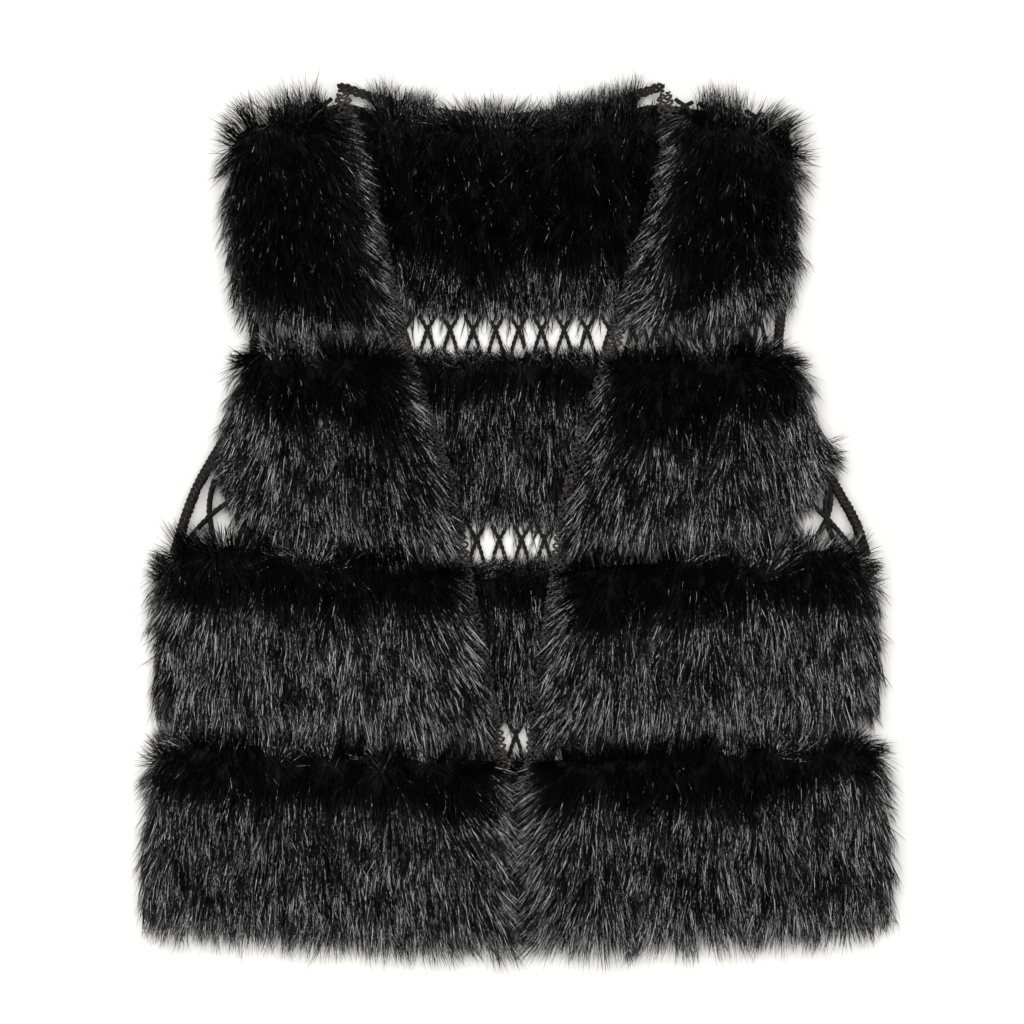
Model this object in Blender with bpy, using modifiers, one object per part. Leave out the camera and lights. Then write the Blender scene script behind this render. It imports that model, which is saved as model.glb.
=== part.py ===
"""Open-fronted vest of four fur tiers joined by crocheted lattice, laid flat with its fronts on its back.

Frame: X to the viewer's right, Y towards the neck, Z up from the surface, origin under the middle of the box.
"""

from collections import namedtuple

import bmesh
import bpy
import numpy as np

MM = 0.001

# Heights of the layers above the surface
BACK_LOFT = 18 * MM
FRONT_LOFT = 24 * MM
SEAM_GAP = 0.3 * MM
FRONT_BASE = BACK_LOFT + SEAM_GAP
FUR_TIP = 2.6 * MM

# Fur of a front band hangs this far over the crochet below it, and this high above the backing plane
OVERHANG = 12 * MM
EAVE_RISE = 4.7 * MM

# Roundness of the bands
INNER_CORNER = 9 * MM
ROLL_WIDTH = 22 * MM
ROLL_EDGE = 0.34
LOCK_DEPTH = 1.8 * MM
LOCK_WIDTH = 62 * MM

# Crochet
EDGING_WIDTH = 9 * MM
EDGING_CLEARANCE = 0.8 * MM
NECK_EDGING_WIDTH = 8 * MM
ARMHOLE_EDGING_WIDTH = 7 * MM
ARMHOLE_CLEARANCE = 1.2 * MM
EDGING_THICK = 4 * MM
CHAIN_WIDTH = 3.2 * MM
CHAIN_THICK = 2.6 * MM
LATTICE_PITCH = 16.2 * MM
CROSSING = 0.58
FRONT_CROCHET_Z = FRONT_BASE + 0.3 * MM
BACK_LATTICE_Z = 6.2 * MM
BACK_EDGING_Z = 5.6 * MM

# Neck and shoulders
NECK_LEFT = 121 * MM
NECK_RIGHT = 99 * MM
NECK_MIDDLE_Y = 282 * MM
NECK_DEPTH = 17 * MM
SHOULDER_FALL = 0.16
SHOULDER_LATTICE_END = 176 * MM

FUR = ("black_fur", (0.012, 0.012, 0.013, 1.0), 0.5)
CROCHET = ("black_crochet_yarn", (0.020, 0.018, 0.017, 1.0), 0.8)

# Front edge: distance of each side's edge from the centre line, down the front (mm)
EdgeRow = namedtuple("EdgeRow", "height left right")
FRONT_EDGE = [
    EdgeRow(301, 120, 99),
    EdgeRow(272, 110, 102),
    EdgeRow(195, 92, 85),
    EdgeRow(121, 75, 63),
    EdgeRow(27, 45, 35),
    EdgeRow(-64, 27, 20.6),
    EdgeRow(-144, 11.5, 10),
    EdgeRow(-190, 3.6, 4),
    EdgeRow(-310, 2.5, 2),
]

# Armhole: distance of its outer edge from the centre line, from the shoulder to the underarm (mm)
ArmRow = namedtuple("ArmRow", "height reach")
ARMHOLE = [
    ArmRow(290, 187),
    ArmRow(257, 193),
    ArmRow(222, 193),
    ArmRow(146, 189),
    ArmRow(120, 187),
    ArmRow(97, 191),
    ArmRow(62, 205),
    ArmRow(20, 228),
    ArmRow(-30, 245),
]

# Front bands: heights of the fur's top and bottom at the front edge and at the side, reach to the side (mm)
FrontBand = namedtuple(
    "FrontBand",
    "side tier top_inner top_outer bottom_inner bottom_outer "
    "reach_top reach_middle reach_bottom corner_top corner_bottom",
)
FRONT_BANDS = [
    FrontBand("left", 1, 286, 274, 121, 137, 204, 208, 195, 26, 16),
    FrontBand("left", 2, 115, 119, -27, -12, 198, 207, 203, 14, 34),
    FrontBand("left", 3, -31, -21, -158, -142, 252, 255, 256, 16, 16),
    FrontBand("left", 4, -166, -154, -304.1, -290, 256, 262, 266, 16, 16),
    FrontBand("right", 1, 286, 272, 128, 140, 200, 199, 195, 26, 16),
    FrontBand("right", 2, 114, 117, -24, -8, 198, 219, 206, 14, 40),
    FrontBand("right", 3, -33, -23, -157, -141, 253, 254, 257, 16, 16),
    FrontBand("right", 4, -166, -154, -304.1, -290, 256, 262, 266, 16, 16),
]

# Back bands: heights of the fur's top and bottom at the middle and at the sides, reach to the sides (mm)
BackBand = namedtuple(
    "BackBand",
    "tier top_middle top_side bottom_middle bottom_side reach_top reach_bottom corner",
)
BACK_BANDS = [
    BackBand(1, 0, 0, 141, 141, 186, 181, 12),
    BackBand(2, 117.5, 117.5, -7, -4, 181, 200, 18),
    BackBand(3, -31, -23, -146, -143, 250, 254, 15),
    BackBand(4, -168, -160, -300, -288, 254, 263, 15),
]

# Section of a front band from its top edge to its lower tips: place (mm from an edge, or share of the
# height), height of the fur as a share of the loft, whether it overhangs
SectionRow = namedtuple("SectionRow", "edge distance upper overhangs")
FRONT_SECTION = [
    SectionRow("top", 0, 0.30, False),
    SectionRow("top", 7, 0.74, False),
    SectionRow("share", 0.20, 1.00, False),
    SectionRow("share", 0.41, 1.00, False),
    SectionRow("share", 0.62, 1.00, False),
    SectionRow("bottom", OVERHANG / MM + 0.3, 0.82, False),
    SectionRow("bottom", OVERHANG / MM, 0.82, True),
    SectionRow("bottom", 5, 0.64, True),
    SectionRow("bottom", 0, 0.38, True),
]

# Section of a back band from its top edge to its lower tips: place, upper and lower face as shares of
# the loft
BackRow = namedtuple("BackRow", "edge distance upper lower")
BACK_SECTION = [
    BackRow("top", 0, 0.64, 0.18),
    BackRow("top", 8, 0.95, 0.0),
    BackRow("share", 0.3, 1.0, 0.0),
    BackRow("share", 0.7, 1.0, 0.0),
    BackRow("bottom", 9, 0.94, 0.0),
    BackRow("bottom", 0, 0.62, 0.18),
]

# Columns of a front band: shares of the way from the edging to the outer end of its backing, then across
# the fur that overhangs the crochet beyond it; in the tiers named, the fur covers the front edging too
FRONT_COLUMNS = (0.0, 0.06, 0.15, 0.25, 0.36, 0.47, 0.58, 0.69, 0.79, 0.88, 0.95, 1.0)
EAVE_COLUMNS = (0.02, 0.55, 1.0)
EDGING_COVERED = (1, 4)
HALF_BACK = (0.0, 0.02, 0.06, 0.13, 0.20, 0.28, 0.36, 0.43)
BACK_COLUMNS = HALF_BACK + (0.5,) + tuple(1 - share for share in reversed(HALF_BACK))


def smooth(heights, values):
    """Smooth curve through a short table, as a function of height; it stays level beyond the table's ends."""
    order = np.argsort(heights)
    knots = np.asarray(heights, float)[order]
    levels = np.asarray(values, float)[order]
    slopes = np.gradient(levels, knots)

    def at(height):
        height = np.clip(height, knots[0], knots[-1])
        i = np.clip(np.searchsorted(knots, height) - 1, 0, len(knots) - 2)
        span = knots[i + 1] - knots[i]
        t = (height - knots[i]) / span
        start = (2 * t**3 - 3 * t**2 + 1) * levels[i] + (t**3 - 2 * t**2 + t) * span * slopes[i]
        end = (3 * t**2 - 2 * t**3) * levels[i + 1] + (t**3 - t**2) * span * slopes[i + 1]
        return start + end

    return at


front_edge = {
    "left": smooth([r.height * MM for r in FRONT_EDGE], [r.left * MM for r in FRONT_EDGE]),
    "right": smooth([r.height * MM for r in FRONT_EDGE], [r.right * MM for r in FRONT_EDGE]),
}
armhole = smooth([r.height * MM for r in ARMHOLE], [r.reach * MM for r in ARMHOLE])
SIGN = {"left": -1, "right": 1}


def neckline(x):
    """Height of the back's upper edge: a shallow dip between the neck points, falling shoulders beyond."""
    middle = (NECK_RIGHT - NECK_LEFT) / 2
    half = (NECK_RIGHT + NECK_LEFT) / 2
    share = np.abs(x - middle) / half
    dip = NECK_MIDDLE_Y + NECK_DEPTH * share**1.8
    fall = NECK_MIDDLE_Y + NECK_DEPTH - SHOULDER_FALL * (share - 1) * half
    return np.where(share < 1, dip, fall)


def corner(distance, radius):
    """How far a rounded corner draws an edge in, at a distance from the band's end."""
    inside = np.clip(1 - distance / radius, 0, 1)
    return radius * (1 - np.sqrt(1 - inside**2))


def roll(distance):
    """Share of the loft left near the end of a band, whose fur rolls down to its edge."""
    inside = np.clip(1 - distance / ROLL_WIDTH, 0, 1)
    return ROLL_EDGE + (1 - ROLL_EDGE) * np.sqrt(1 - inside**2)


def through_three(first, middle, last, share):
    """Curve through three values at shares 0, 0.5 and 1."""
    a = 2 * (share - 0.5) * (share - 1) * first
    b = -4 * share * (share - 1) * middle
    c = 2 * share * (share - 0.5) * last
    return a + b + c


def material(kind):
    """The Principled material of a kind of cloth."""
    name, colour, rough = kind
    found = bpy.data.materials.get(name)
    if found is None:
        found = bpy.data.materials.new(name)
        found.use_nodes = True
        shader = found.node_tree.nodes["Principled BSDF"]
        shader.inputs["Base Color"].default_value = colour
        shader.inputs["Roughness"].default_value = rough
        shader.inputs["Metallic"].default_value = 0.0
        found.diffuse_color = colour
    return found


def finish(name, made, kind):
    """Turn a bmesh into a named object of the vest."""
    bmesh.ops.recalc_face_normals(made, faces=made.faces)
    mesh = bpy.data.meshes.new(name)
    made.to_mesh(mesh)
    made.free()
    mesh.materials.append(material(kind))
    piece = bpy.data.objects.new(name, mesh)
    vest.objects.link(piece)
    return piece


def band_solid(name, x, y, lower, upper):
    """Loft of a fur band: one section per column, its upper and lower rows joined round the edges."""
    rows, columns = x.shape
    made = bmesh.new()
    top = [[made.verts.new((x[r, c], y[r, c], upper[r, c])) for c in range(columns)] for r in range(rows)]
    low = [[made.verts.new((x[r, c], y[r, c], lower[r, c])) for c in range(columns)] for r in range(rows)]
    for r in range(rows - 1):
        for c in range(columns - 1):
            made.faces.new((top[r][c], top[r + 1][c], top[r + 1][c + 1], top[r][c + 1]))
            made.faces.new((low[r][c], low[r][c + 1], low[r + 1][c + 1], low[r + 1][c]))
    for r in (0, rows - 1):
        for c in range(columns - 1):
            made.faces.new((top[r][c], top[r][c + 1], low[r][c + 1], low[r][c]))
    for c in (0, columns - 1):
        for r in range(rows - 1):
            made.faces.new((top[r][c], top[r + 1][c], low[r + 1][c], low[r][c]))
    return finish(name, made, FUR)


def row_line(row, top, bottom):
    """Heights of a section row across a band, from the band's top and bottom edges."""
    if row.edge == "share":
        return top + row.distance * (bottom - top)
    return top - row.distance * MM if row.edge == "top" else bottom + row.distance * MM


def front_band(band):
    """Make a front band; returns the plan of its rows, measured outward from the centre line."""
    side = band.side
    top_mid = (band.top_inner + band.top_outer) / 2 * MM
    bottom_mid = (band.bottom_inner + band.bottom_outer) / 2 * MM

    def inner(y):
        return front_edge[side](y) + EDGING_WIDTH + EDGING_CLEARANCE

    def outer(y):
        share = np.clip((top_mid - y) / (top_mid - bottom_mid), 0, 1)
        return through_three(band.reach_top, band.reach_middle, band.reach_bottom, share) * MM

    has_armhole = band.tier < 3

    def body(y):
        if not has_armhole:
            return outer(y)
        return np.minimum(armhole(y) - ARMHOLE_EDGING_WIDTH - ARMHOLE_CLEARANCE, outer(y) - 7 * MM)

    def place(column, y):
        if column < 0:
            return inner(y) + column * (EDGING_WIDTH + EDGING_CLEARANCE - 2 * SEAM_GAP)
        if column <= 1:
            return inner(y) + column * (body(y) - inner(y))
        return body(y) + (column - 1) * (outer(y) - body(y))

    columns = list(FRONT_COLUMNS)
    if has_armhole:
        columns += [1 + share for share in EAVE_COLUMNS]
    if band.tier in EDGING_COVERED:
        columns = [-share for share in reversed(EAVE_COLUMNS)] + columns
    middle_y = (top_mid + bottom_mid) / 2
    width = outer(middle_y) - place(columns[0], middle_y)
    from_inner = np.array([place(c, middle_y) - place(columns[0], middle_y) for c in columns])
    from_outer = width - from_inner
    share = from_inner / width
    ends = corner(from_inner, INNER_CORNER)
    locks = LOCK_DEPTH * np.sin(2 * np.pi * from_inner / LOCK_WIDTH + band.tier)
    top = MM * (band.top_inner + share * (band.top_outer - band.top_inner))
    top = top - ends - corner(from_outer, band.corner_top * MM)
    bottom = MM * (band.bottom_inner + share * (band.bottom_outer - band.bottom_inner))
    bottom = bottom + ends + corner(from_outer, band.corner_bottom * MM) + locks * (from_outer > 0)

    has_lattice_below = band.tier < 4
    side_roll = np.minimum(roll(from_inner), roll(from_outer))
    x, y, lower, upper = [], [], [], []
    for row in FRONT_SECTION:
        line = row_line(row, top, bottom)
        lifted = np.array([(row.overhangs and has_lattice_below) or c > 1 or c < 0 for c in columns])
        base = FRONT_BASE + EAVE_RISE * lifted
        y.append(line)
        x.append(np.array([place(c, v) for c, v in zip(columns, line)]))
        lower.append(base)
        upper.append(np.maximum(FRONT_BASE + FRONT_LOFT * row.upper * side_roll, base + FUR_TIP))
    x, y, lower, upper = (np.array(a) for a in (x, y, lower, upper))
    band_solid(f"front_{side}_band_{band.tier}", SIGN[side] * x, y, lower, upper)
    return x, y


def back_band(band):
    """Make a back band, across the whole width; returns the plan of its rows."""

    def reach(y, top, bottom):
        share = np.clip((top - y) / (top - bottom), 0, 1)
        straight = (band.reach_top + share * (band.reach_bottom - band.reach_top)) * MM
        if band.tier < 3:
            return np.minimum(straight, armhole(y) - ARMHOLE_EDGING_WIDTH - ARMHOLE_CLEARANCE)
        return straight

    across = np.array(BACK_COLUMNS)
    aside = np.abs(2 * across - 1)
    half = band.reach_top * MM
    from_end = half * (1 - aside)
    if band.tier == 1:
        shoulder = armhole(280 * MM) - ARMHOLE_EDGING_WIDTH - ARMHOLE_CLEARANCE
        top = neckline((2 * across - 1) * min(half, shoulder)) - SEAM_GAP
    else:
        top = MM * (band.top_middle + aside**2 * (band.top_side - band.top_middle))
    top = top - corner(from_end, band.corner * MM)
    locks = LOCK_DEPTH * np.sin(2 * np.pi * (2 * across - 1) * half / LOCK_WIDTH + band.tier)
    bottom = MM * (band.bottom_middle + aside**2 * (band.bottom_side - band.bottom_middle))
    bottom = bottom + corner(from_end, band.corner * MM) + 0.5 * locks * (from_end > 0)
    high, deep = top.mean(), bottom.mean()
    x, y, lower, upper = [], [], [], []
    for row in BACK_SECTION:
        line = row_line(row, top, bottom)
        y.append(line)
        x.append(np.array([(2 * a - 1) * reach(v, high, deep) for a, v in zip(across, line)]))
        side_lift = np.where(from_end <= 0, 0.2, 0.0)
        lower.append(BACK_LOFT * np.maximum(row.lower, side_lift))
        upper.append(BACK_LOFT * np.minimum(row.upper, np.where(from_end <= 0, 0.8, 1.0)))
    x, y, lower, upper = (np.array(a) for a in (x, y, lower, upper))
    band_solid(f"back_band_{band.tier}", x, y, lower, upper)
    return x, y


def line_of(x, y):
    """Height of a row of plan points as a function of x."""
    order = np.argsort(x)
    return lambda at: np.interp(at, np.asarray(x)[order], np.asarray(y)[order])


NEAR = LATTICE_PITCH * np.array((-0.5, -0.35, 0.0, 0.35, 0.5))


def kept_under(line):
    """Lowest height of a line near a place, so that a chain's foot stays clear of a corner above it."""
    return lambda at: line(at + NEAR[1:4]).min()


def kept_over(line):
    """Greatest height of a line near a place, so that a chain's foot stays clear of a corner below it."""
    return lambda at: line(at + NEAR).max()


def lattice(name, start, end, top, bottom, level, sign=1, leaning=None):
    """Crossed chains in a row: a flat sheet of crosses joined at their feet, thickened by Solidify.

    The first foot follows a leaning edge where one is given.
    """
    count = max(2, round((end - start) / LATTICE_PITCH))
    nodes = np.linspace(start, end, count + 1)
    half = (nodes[1] - nodes[0]) / 2
    made = bmesh.new()

    def point(x, y):
        return made.verts.new((sign * x, y, level(x, y)))

    def foot(x, edge):
        high, low = top(x), bottom(x)
        tall = min(1.75 * CHAIN_WIDTH, 0.26 * (high - low))
        levels = (high, high - tall, low + tall, low)
        points = [point(edge(y) if edge else x, y) for y in levels]
        return points[:2], points[2:]

    feet = [foot(x, leaning if x == start else None) for x in nodes]
    for i in range(count):
        x = nodes[i] + half
        high, low = top(x), bottom(x)
        y = low + CROSSING * (high - low)
        tall = min(0.88 * CHAIN_WIDTH, 0.13 * (high - low))
        up, down = point(x, y + tall), point(x, y - tall)
        left, right = point(x - 0.6 * CHAIN_WIDTH, y), point(x + 0.6 * CHAIN_WIDTH, y)
        (left_up, left_down), (right_up, right_down) = feet[i], feet[i + 1]
        made.faces.new((up, left, down, right))
        made.faces.new((up, right, right_up[1], right_up[0]))
        made.faces.new((up, left_up[0], left_up[1], left))
        made.faces.new((down, left, left_down[0], left_down[1]))
        made.faces.new((down, right_down[1], right_down[0], right))
    piece = finish(name, made, CROCHET)
    thicken = piece.modifiers.new("chain thickness", "SOLIDIFY")
    thicken.thickness = CHAIN_THICK
    thicken.offset = 0.0
    return piece


def edging(name, near, far, level):
    """Flat crocheted braid between two borders: a low six-sided section carried along the edge."""
    made = bmesh.new()
    section = ((0.0, 0.0), (1.0, 0.0), (1.0, 0.55), (0.75, 1.0), (0.25, 1.0), (0.0, 0.55))
    rings = []
    for (nx, ny), (fx, fy), z in zip(near, far, level):
        places = [(nx + a * (fx - nx), ny + a * (fy - ny), z + b * EDGING_THICK) for a, b in section]
        rings.append([made.verts.new(place) for place in places])
    for first, second in zip(rings, rings[1:]):
        for i in range(len(section)):
            j = (i + 1) % len(section)
            made.faces.new((first[i], first[j], second[j], second[i]))
    made.faces.new(rings[0])
    made.faces.new(rings[-1])
    return finish(name, made, CROCHET)


for old in list(bpy.data.objects):
    bpy.data.objects.remove(old)
vest = bpy.data.collections.new("fur_vest")
bpy.context.scene.collection.children.link(vest)

front_plan = {(band.side, band.tier): front_band(band) for band in FRONT_BANDS}
back_plan = {band.tier: back_band(band) for band in BACK_BANDS}


def armhole_height(x):
    """Height at which the armhole edging's inner border passes a distance from the centre line."""
    heights = np.linspace(-30 * MM, 90 * MM, 80)
    border = armhole(heights) - ARMHOLE_EDGING_WIDTH - SEAM_GAP
    return np.interp(x, border[::-1], heights[::-1])


def underarm_roof(x, over, past):
    """Upper limit of the back's lattice near the underarm: the band above, then the armhole edging."""
    under_edging = armhole_height(abs(x)) - SEAM_GAP
    return under_edging if abs(x) > past else min(over(x), under_edging)


# Lattice of the fronts, under the overhanging fur
STEP_ROW = 6
for side in ("left", "right"):
    for tier in (1, 2, 3):
        x_over, y_over = front_plan[side, tier]
        x_under, y_under = front_plan[side, tier + 1]
        over = kept_under(line_of(x_over[STEP_ROW], y_over[STEP_ROW] - SEAM_GAP))
        under = kept_over(line_of(x_under[0], y_under[0] + SEAM_GAP))
        border = lambda y: front_edge[side](y) + EDGING_WIDTH + 2 * SEAM_GAP
        start = float(border(y_over[STEP_ROW][0]))
        if tier == 1:
            end = armhole(120 * MM) - ARMHOLE_EDGING_WIDTH - 2 * SEAM_GAP
        elif tier == 2:
            end = armhole(6 * MM) - ARMHOLE_EDGING_WIDTH - 2 * SEAM_GAP
        else:
            end = x_under[0][-2]
        if tier == 2:
            roof = lambda x, over=over: min(over(x), armhole_height(x) - SEAM_GAP)
        else:
            roof = over
        level = FRONT_CROCHET_Z + CHAIN_THICK / 2
        name = f"front_{side}_lattice_{tier}"
        lattice(name, start, end, roof, under, lambda x, y: level, SIGN[side], border)

# Lattice of the back
for tier in (1, 2, 3):
    x_over, y_over = back_plan[tier]
    x_under, y_under = back_plan[tier + 1]
    over = kept_under(line_of(x_over[-1], y_over[-1] - SEAM_GAP))
    under = kept_over(line_of(x_under[0], y_under[0] + SEAM_GAP))
    if tier == 1:
        end = armhole(128 * MM) - ARMHOLE_EDGING_WIDTH - 2 * SEAM_GAP
        roof = over
    elif tier == 2:
        end = armhole(2 * MM) - ARMHOLE_EDGING_WIDTH - 2 * SEAM_GAP
        past = back_plan[2][0][-1][-1] + MM
        roof = lambda x, over=over: underarm_roof(x, over, past)
    else:
        end = x_under[0][-2]
        roof = over
    level = BACK_LATTICE_Z + CHAIN_THICK / 2
    lattice(f"back_lattice_{tier}", -end, end, roof, under, lambda x, y: level)

# Lattice over each shoulder, sloping from the front down to the back
for side in ("left", "right"):
    x_front, y_front = front_plan[side, 1]
    top = lambda x: float(neckline(SIGN[side] * x))
    bottom = kept_over(line_of(x_front[0], y_front[0] + CHAIN_THICK / 2))
    slope = 0.55
    base = FRONT_CROCHET_Z + CHAIN_THICK / 2 + 0.4 * MM
    start = front_edge[side](np.linspace(270, 301, 9) * MM).max() + EDGING_WIDTH + 2 * SEAM_GAP
    level = lambda x, y: base - slope * max(0.0, y - bottom(x))
    lattice(f"shoulder_lattice_{side}", start, SHOULDER_LATTICE_END, top, bottom, level, SIGN[side])

# Edging down each front edge
x_back, y_back = (plan[0] for plan in back_plan[1])
back_top = line_of(x_back, y_back)
for side in ("left", "right"):
    sign = SIGN[side]
    neck = NECK_LEFT if side == "left" else NECK_RIGHT
    start = min(back_top([sign * neck, sign * (neck + EDGING_WIDTH)])) - SEAM_GAP
    heights = np.linspace(start, -300 * MM, 28)
    inner = front_edge[side](heights)
    near = [(sign * x, y) for x, y in zip(inner, heights)]
    far = [(sign * (x + EDGING_WIDTH), y) for x, y in zip(inner, heights)]
    edging(f"front_edging_{side}", near, far, np.full(len(heights), FRONT_CROCHET_Z))

# Edging round the back of the neck, rising to the shoulders at both ends
across = np.linspace(-NECK_LEFT - EDGING_WIDTH, NECK_RIGHT + EDGING_WIDTH, 14)
between = (x_back > across[0] + MM) & (x_back < across[-1] - MM)
across = np.sort(np.concatenate([across, x_back[between]]))
middle = (across[0] + across[-1]) / 2
rise = (np.abs(across - middle) / (across[-1] - middle)) ** 3
near = [(x, y + SEAM_GAP) for x, y in zip(across, back_top(across))]
far = [(x, y + NECK_EDGING_WIDTH) for x, y in near]
edging("neck_edging", near, far, BACK_EDGING_Z + rise * (FRONT_CROCHET_Z - BACK_EDGING_Z))

# Edging round the armholes, one on the front and one on the back
for side in ("left", "right"):
    sign = SIGN[side]
    for face, level in (("front", FRONT_CROCHET_Z), ("back", BACK_EDGING_Z)):
        x_under, y_under = front_plan[side, 3] if face == "front" else back_plan[3]
        end = armhole(-20 * MM)
        stop = max(line_of(x_under[0], y_under[0])([end - ARMHOLE_EDGING_WIDTH, end])) + SEAM_GAP
        heights = np.linspace(272 * MM, stop, 18)
        outer = armhole(heights)
        near = [(sign * (x - ARMHOLE_EDGING_WIDTH), y) for x, y in zip(outer, heights)]
        far = [(sign * x, y) for x, y in zip(outer, heights)]
        edging(f"armhole_edging_{face}_{side}", near, far, np.full(len(heights), level))
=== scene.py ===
from collections import namedtuple

import bpy
import numpy as np
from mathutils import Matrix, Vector


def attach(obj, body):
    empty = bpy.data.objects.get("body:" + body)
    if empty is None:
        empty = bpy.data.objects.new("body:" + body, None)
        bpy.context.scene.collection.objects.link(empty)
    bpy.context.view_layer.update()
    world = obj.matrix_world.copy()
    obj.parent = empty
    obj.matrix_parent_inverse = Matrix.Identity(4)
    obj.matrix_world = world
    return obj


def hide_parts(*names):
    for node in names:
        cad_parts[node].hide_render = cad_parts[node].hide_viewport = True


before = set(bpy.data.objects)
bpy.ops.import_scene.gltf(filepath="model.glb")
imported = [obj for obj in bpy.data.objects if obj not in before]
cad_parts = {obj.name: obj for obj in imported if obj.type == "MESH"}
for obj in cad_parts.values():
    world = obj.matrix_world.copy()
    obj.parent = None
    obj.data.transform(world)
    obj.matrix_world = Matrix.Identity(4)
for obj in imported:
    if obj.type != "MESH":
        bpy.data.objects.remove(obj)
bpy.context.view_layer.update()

# The surface is a plain pale sheet under even studio light. The camera looks straight down on the vest,
# which lies flat with its fronts on its back.
MM = 0.001
PHOTO_SPAN = 716.8 * MM
PHOTO_MIDDLE = (-3.2 * MM, 4.2 * MM)
CAMERA_HEIGHT = 2.4
SENSOR_WIDTH = 36.0
FUR_HEIGHT = 30 * MM
FLOOR_HALF = 4.0
FLOOR_LEVEL = -0.2 * MM
FLOOR_COLOUR = (0.95, 0.935, 0.9, 1.0)
FLOOR_ROUGHNESS = 0.9
FLOOR_SHINE = 0.1
ROOM_LIGHT = 0.08
# Softboxes, each turned to the origin: place and width (m), power (W)
SOFTBOXES = {
    "overhead_softbox": ((0.0, 0.35, 2.9), 1.9, 100.0),
    "low_softbox": ((-0.9, -1.9, 1.9), 1.2, 18.0),
}

scene = bpy.context.scene
lens = bpy.data.cameras.new("camera")
lens.sensor_width = SENSOR_WIDTH
lens.lens = SENSOR_WIDTH * (CAMERA_HEIGHT - FUR_HEIGHT) / PHOTO_SPAN
camera = bpy.data.objects.new("camera", lens)
camera.location = (*PHOTO_MIDDLE, CAMERA_HEIGHT)
scene.collection.objects.link(camera)
scene.camera = camera
scene.view_settings.view_transform = "Standard"

world = bpy.data.worlds.new("studio")
world.use_nodes = True
world.node_tree.nodes["Background"].inputs["Color"].default_value = (1.0, 1.0, 1.0, 1.0)
world.node_tree.nodes["Background"].inputs["Strength"].default_value = ROOM_LIGHT
scene.world = world


def soft_light(name, place, width, power):
    """A square area light of a width and power, turned from its place towards the origin."""
    light = bpy.data.lights.new(name, "AREA")
    light.shape = "SQUARE"
    light.size = width
    light.energy = power
    lamp = bpy.data.objects.new(name, light)
    lamp.location = place
    lamp.rotation_euler = (Vector() - Vector(place)).to_track_quat("-Z", "Y").to_euler()
    scene.collection.objects.link(lamp)


for name, (place, width, power) in SOFTBOXES.items():
    soft_light(name, place, width, power)


def paint(name, colour, rough, shine):
    """A new material with a Principled shader of a colour, roughness and shine; returns both."""
    made = bpy.data.materials.new(name)
    made.use_nodes = True
    shader = made.node_tree.nodes["Principled BSDF"]
    shader.inputs["Base Color"].default_value = colour
    shader.inputs["Roughness"].default_value = rough
    shader.inputs["Specular IOR Level"].default_value = shine
    return made, shader


def show(name, mesh, material):
    """Put a finished mesh into the scene, at the origin, with its material."""
    mesh.materials.append(material)
    piece = bpy.data.objects.new(name, mesh)
    scene.collection.objects.link(piece)
    return piece


floor_mesh = bpy.data.meshes.new("floor")
floor_corners = FLOOR_HALF * np.array([(-1, -1), (1, -1), (1, 1), (-1, 1)])
floor_mesh.from_pydata([(x, y, FLOOR_LEVEL) for x, y in floor_corners], [], [(0, 1, 2, 3)])
floor_paint, _ = paint("pale_surface", FLOOR_COLOUR, FLOOR_ROUGHNESS, FLOOR_SHINE)
show("floor", floor_mesh, floor_paint)

# Four fur strips make each front. Each is a cut of long-pile fur cloth that lies on the back; its lower edge
# and its front edge carry the crochet. Here is the cloth itself, a thin shell under the pile.
EDGING_WIDTH = 9 * MM
EDGING_CLEARANCE = 0.5 * MM
FRONT_BASE = 18.3 * MM
CLOTH_THICK = 2.4 * MM
CLOTH_LOW = 3.2 * MM
CLOTH_CROWN = 6.0 * MM
CLOTH_ROLL = 24 * MM
CLOTH_GRID = (30, 13)
TOP_INSET = {1: 3 * MM, 2: 2 * MM, 3: 3 * MM, 4: 5 * MM}
BOTTOM_INSET = {1: 13 * MM, 2: 9 * MM, 3: 8 * MM, 4: 12 * MM}
TOP_INSET_FALL = 0.7
SIDE_INSET = 6 * MM
INNER_CORNER = 6 * MM
EAVE_RISE = 4.4 * MM
EAVE_WIDTH = 16 * MM
EAVE_REACH = {("left", 1): 7 * MM, ("left", 2): 3 * MM, ("right", 1): -1 * MM, ("right", 2): 7 * MM}
SIGN = {"left": -1.0, "right": 1.0}
# Down the front: height, and distance of the left and right edge from the centre line (mm)
FRONT_EDGE = np.array([
    (301, 120, 99), (272, 110, 102), (195, 92, 85), (121, 75, 63), (27, 45, 35),
    (-64, 27, 20.6), (-144, 11.5, 10), (-190, 3.6, 4), (-310, 2.5, 2),
])
# Down the armhole: height, and distance of its outer edge from the centre line (mm)
ARMHOLE = np.array([
    (290, 187), (257, 193), (222, 193), (146, 189), (120, 187), (97, 191), (62, 205), (20, 228), (-30, 245),
])
FrontRow = namedtuple(
    "FrontRow",
    "top_front top_side bottom_front bottom_side reach_top reach_middle reach_bottom "
    "upper_corner lower_corner stand_end",
)
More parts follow.
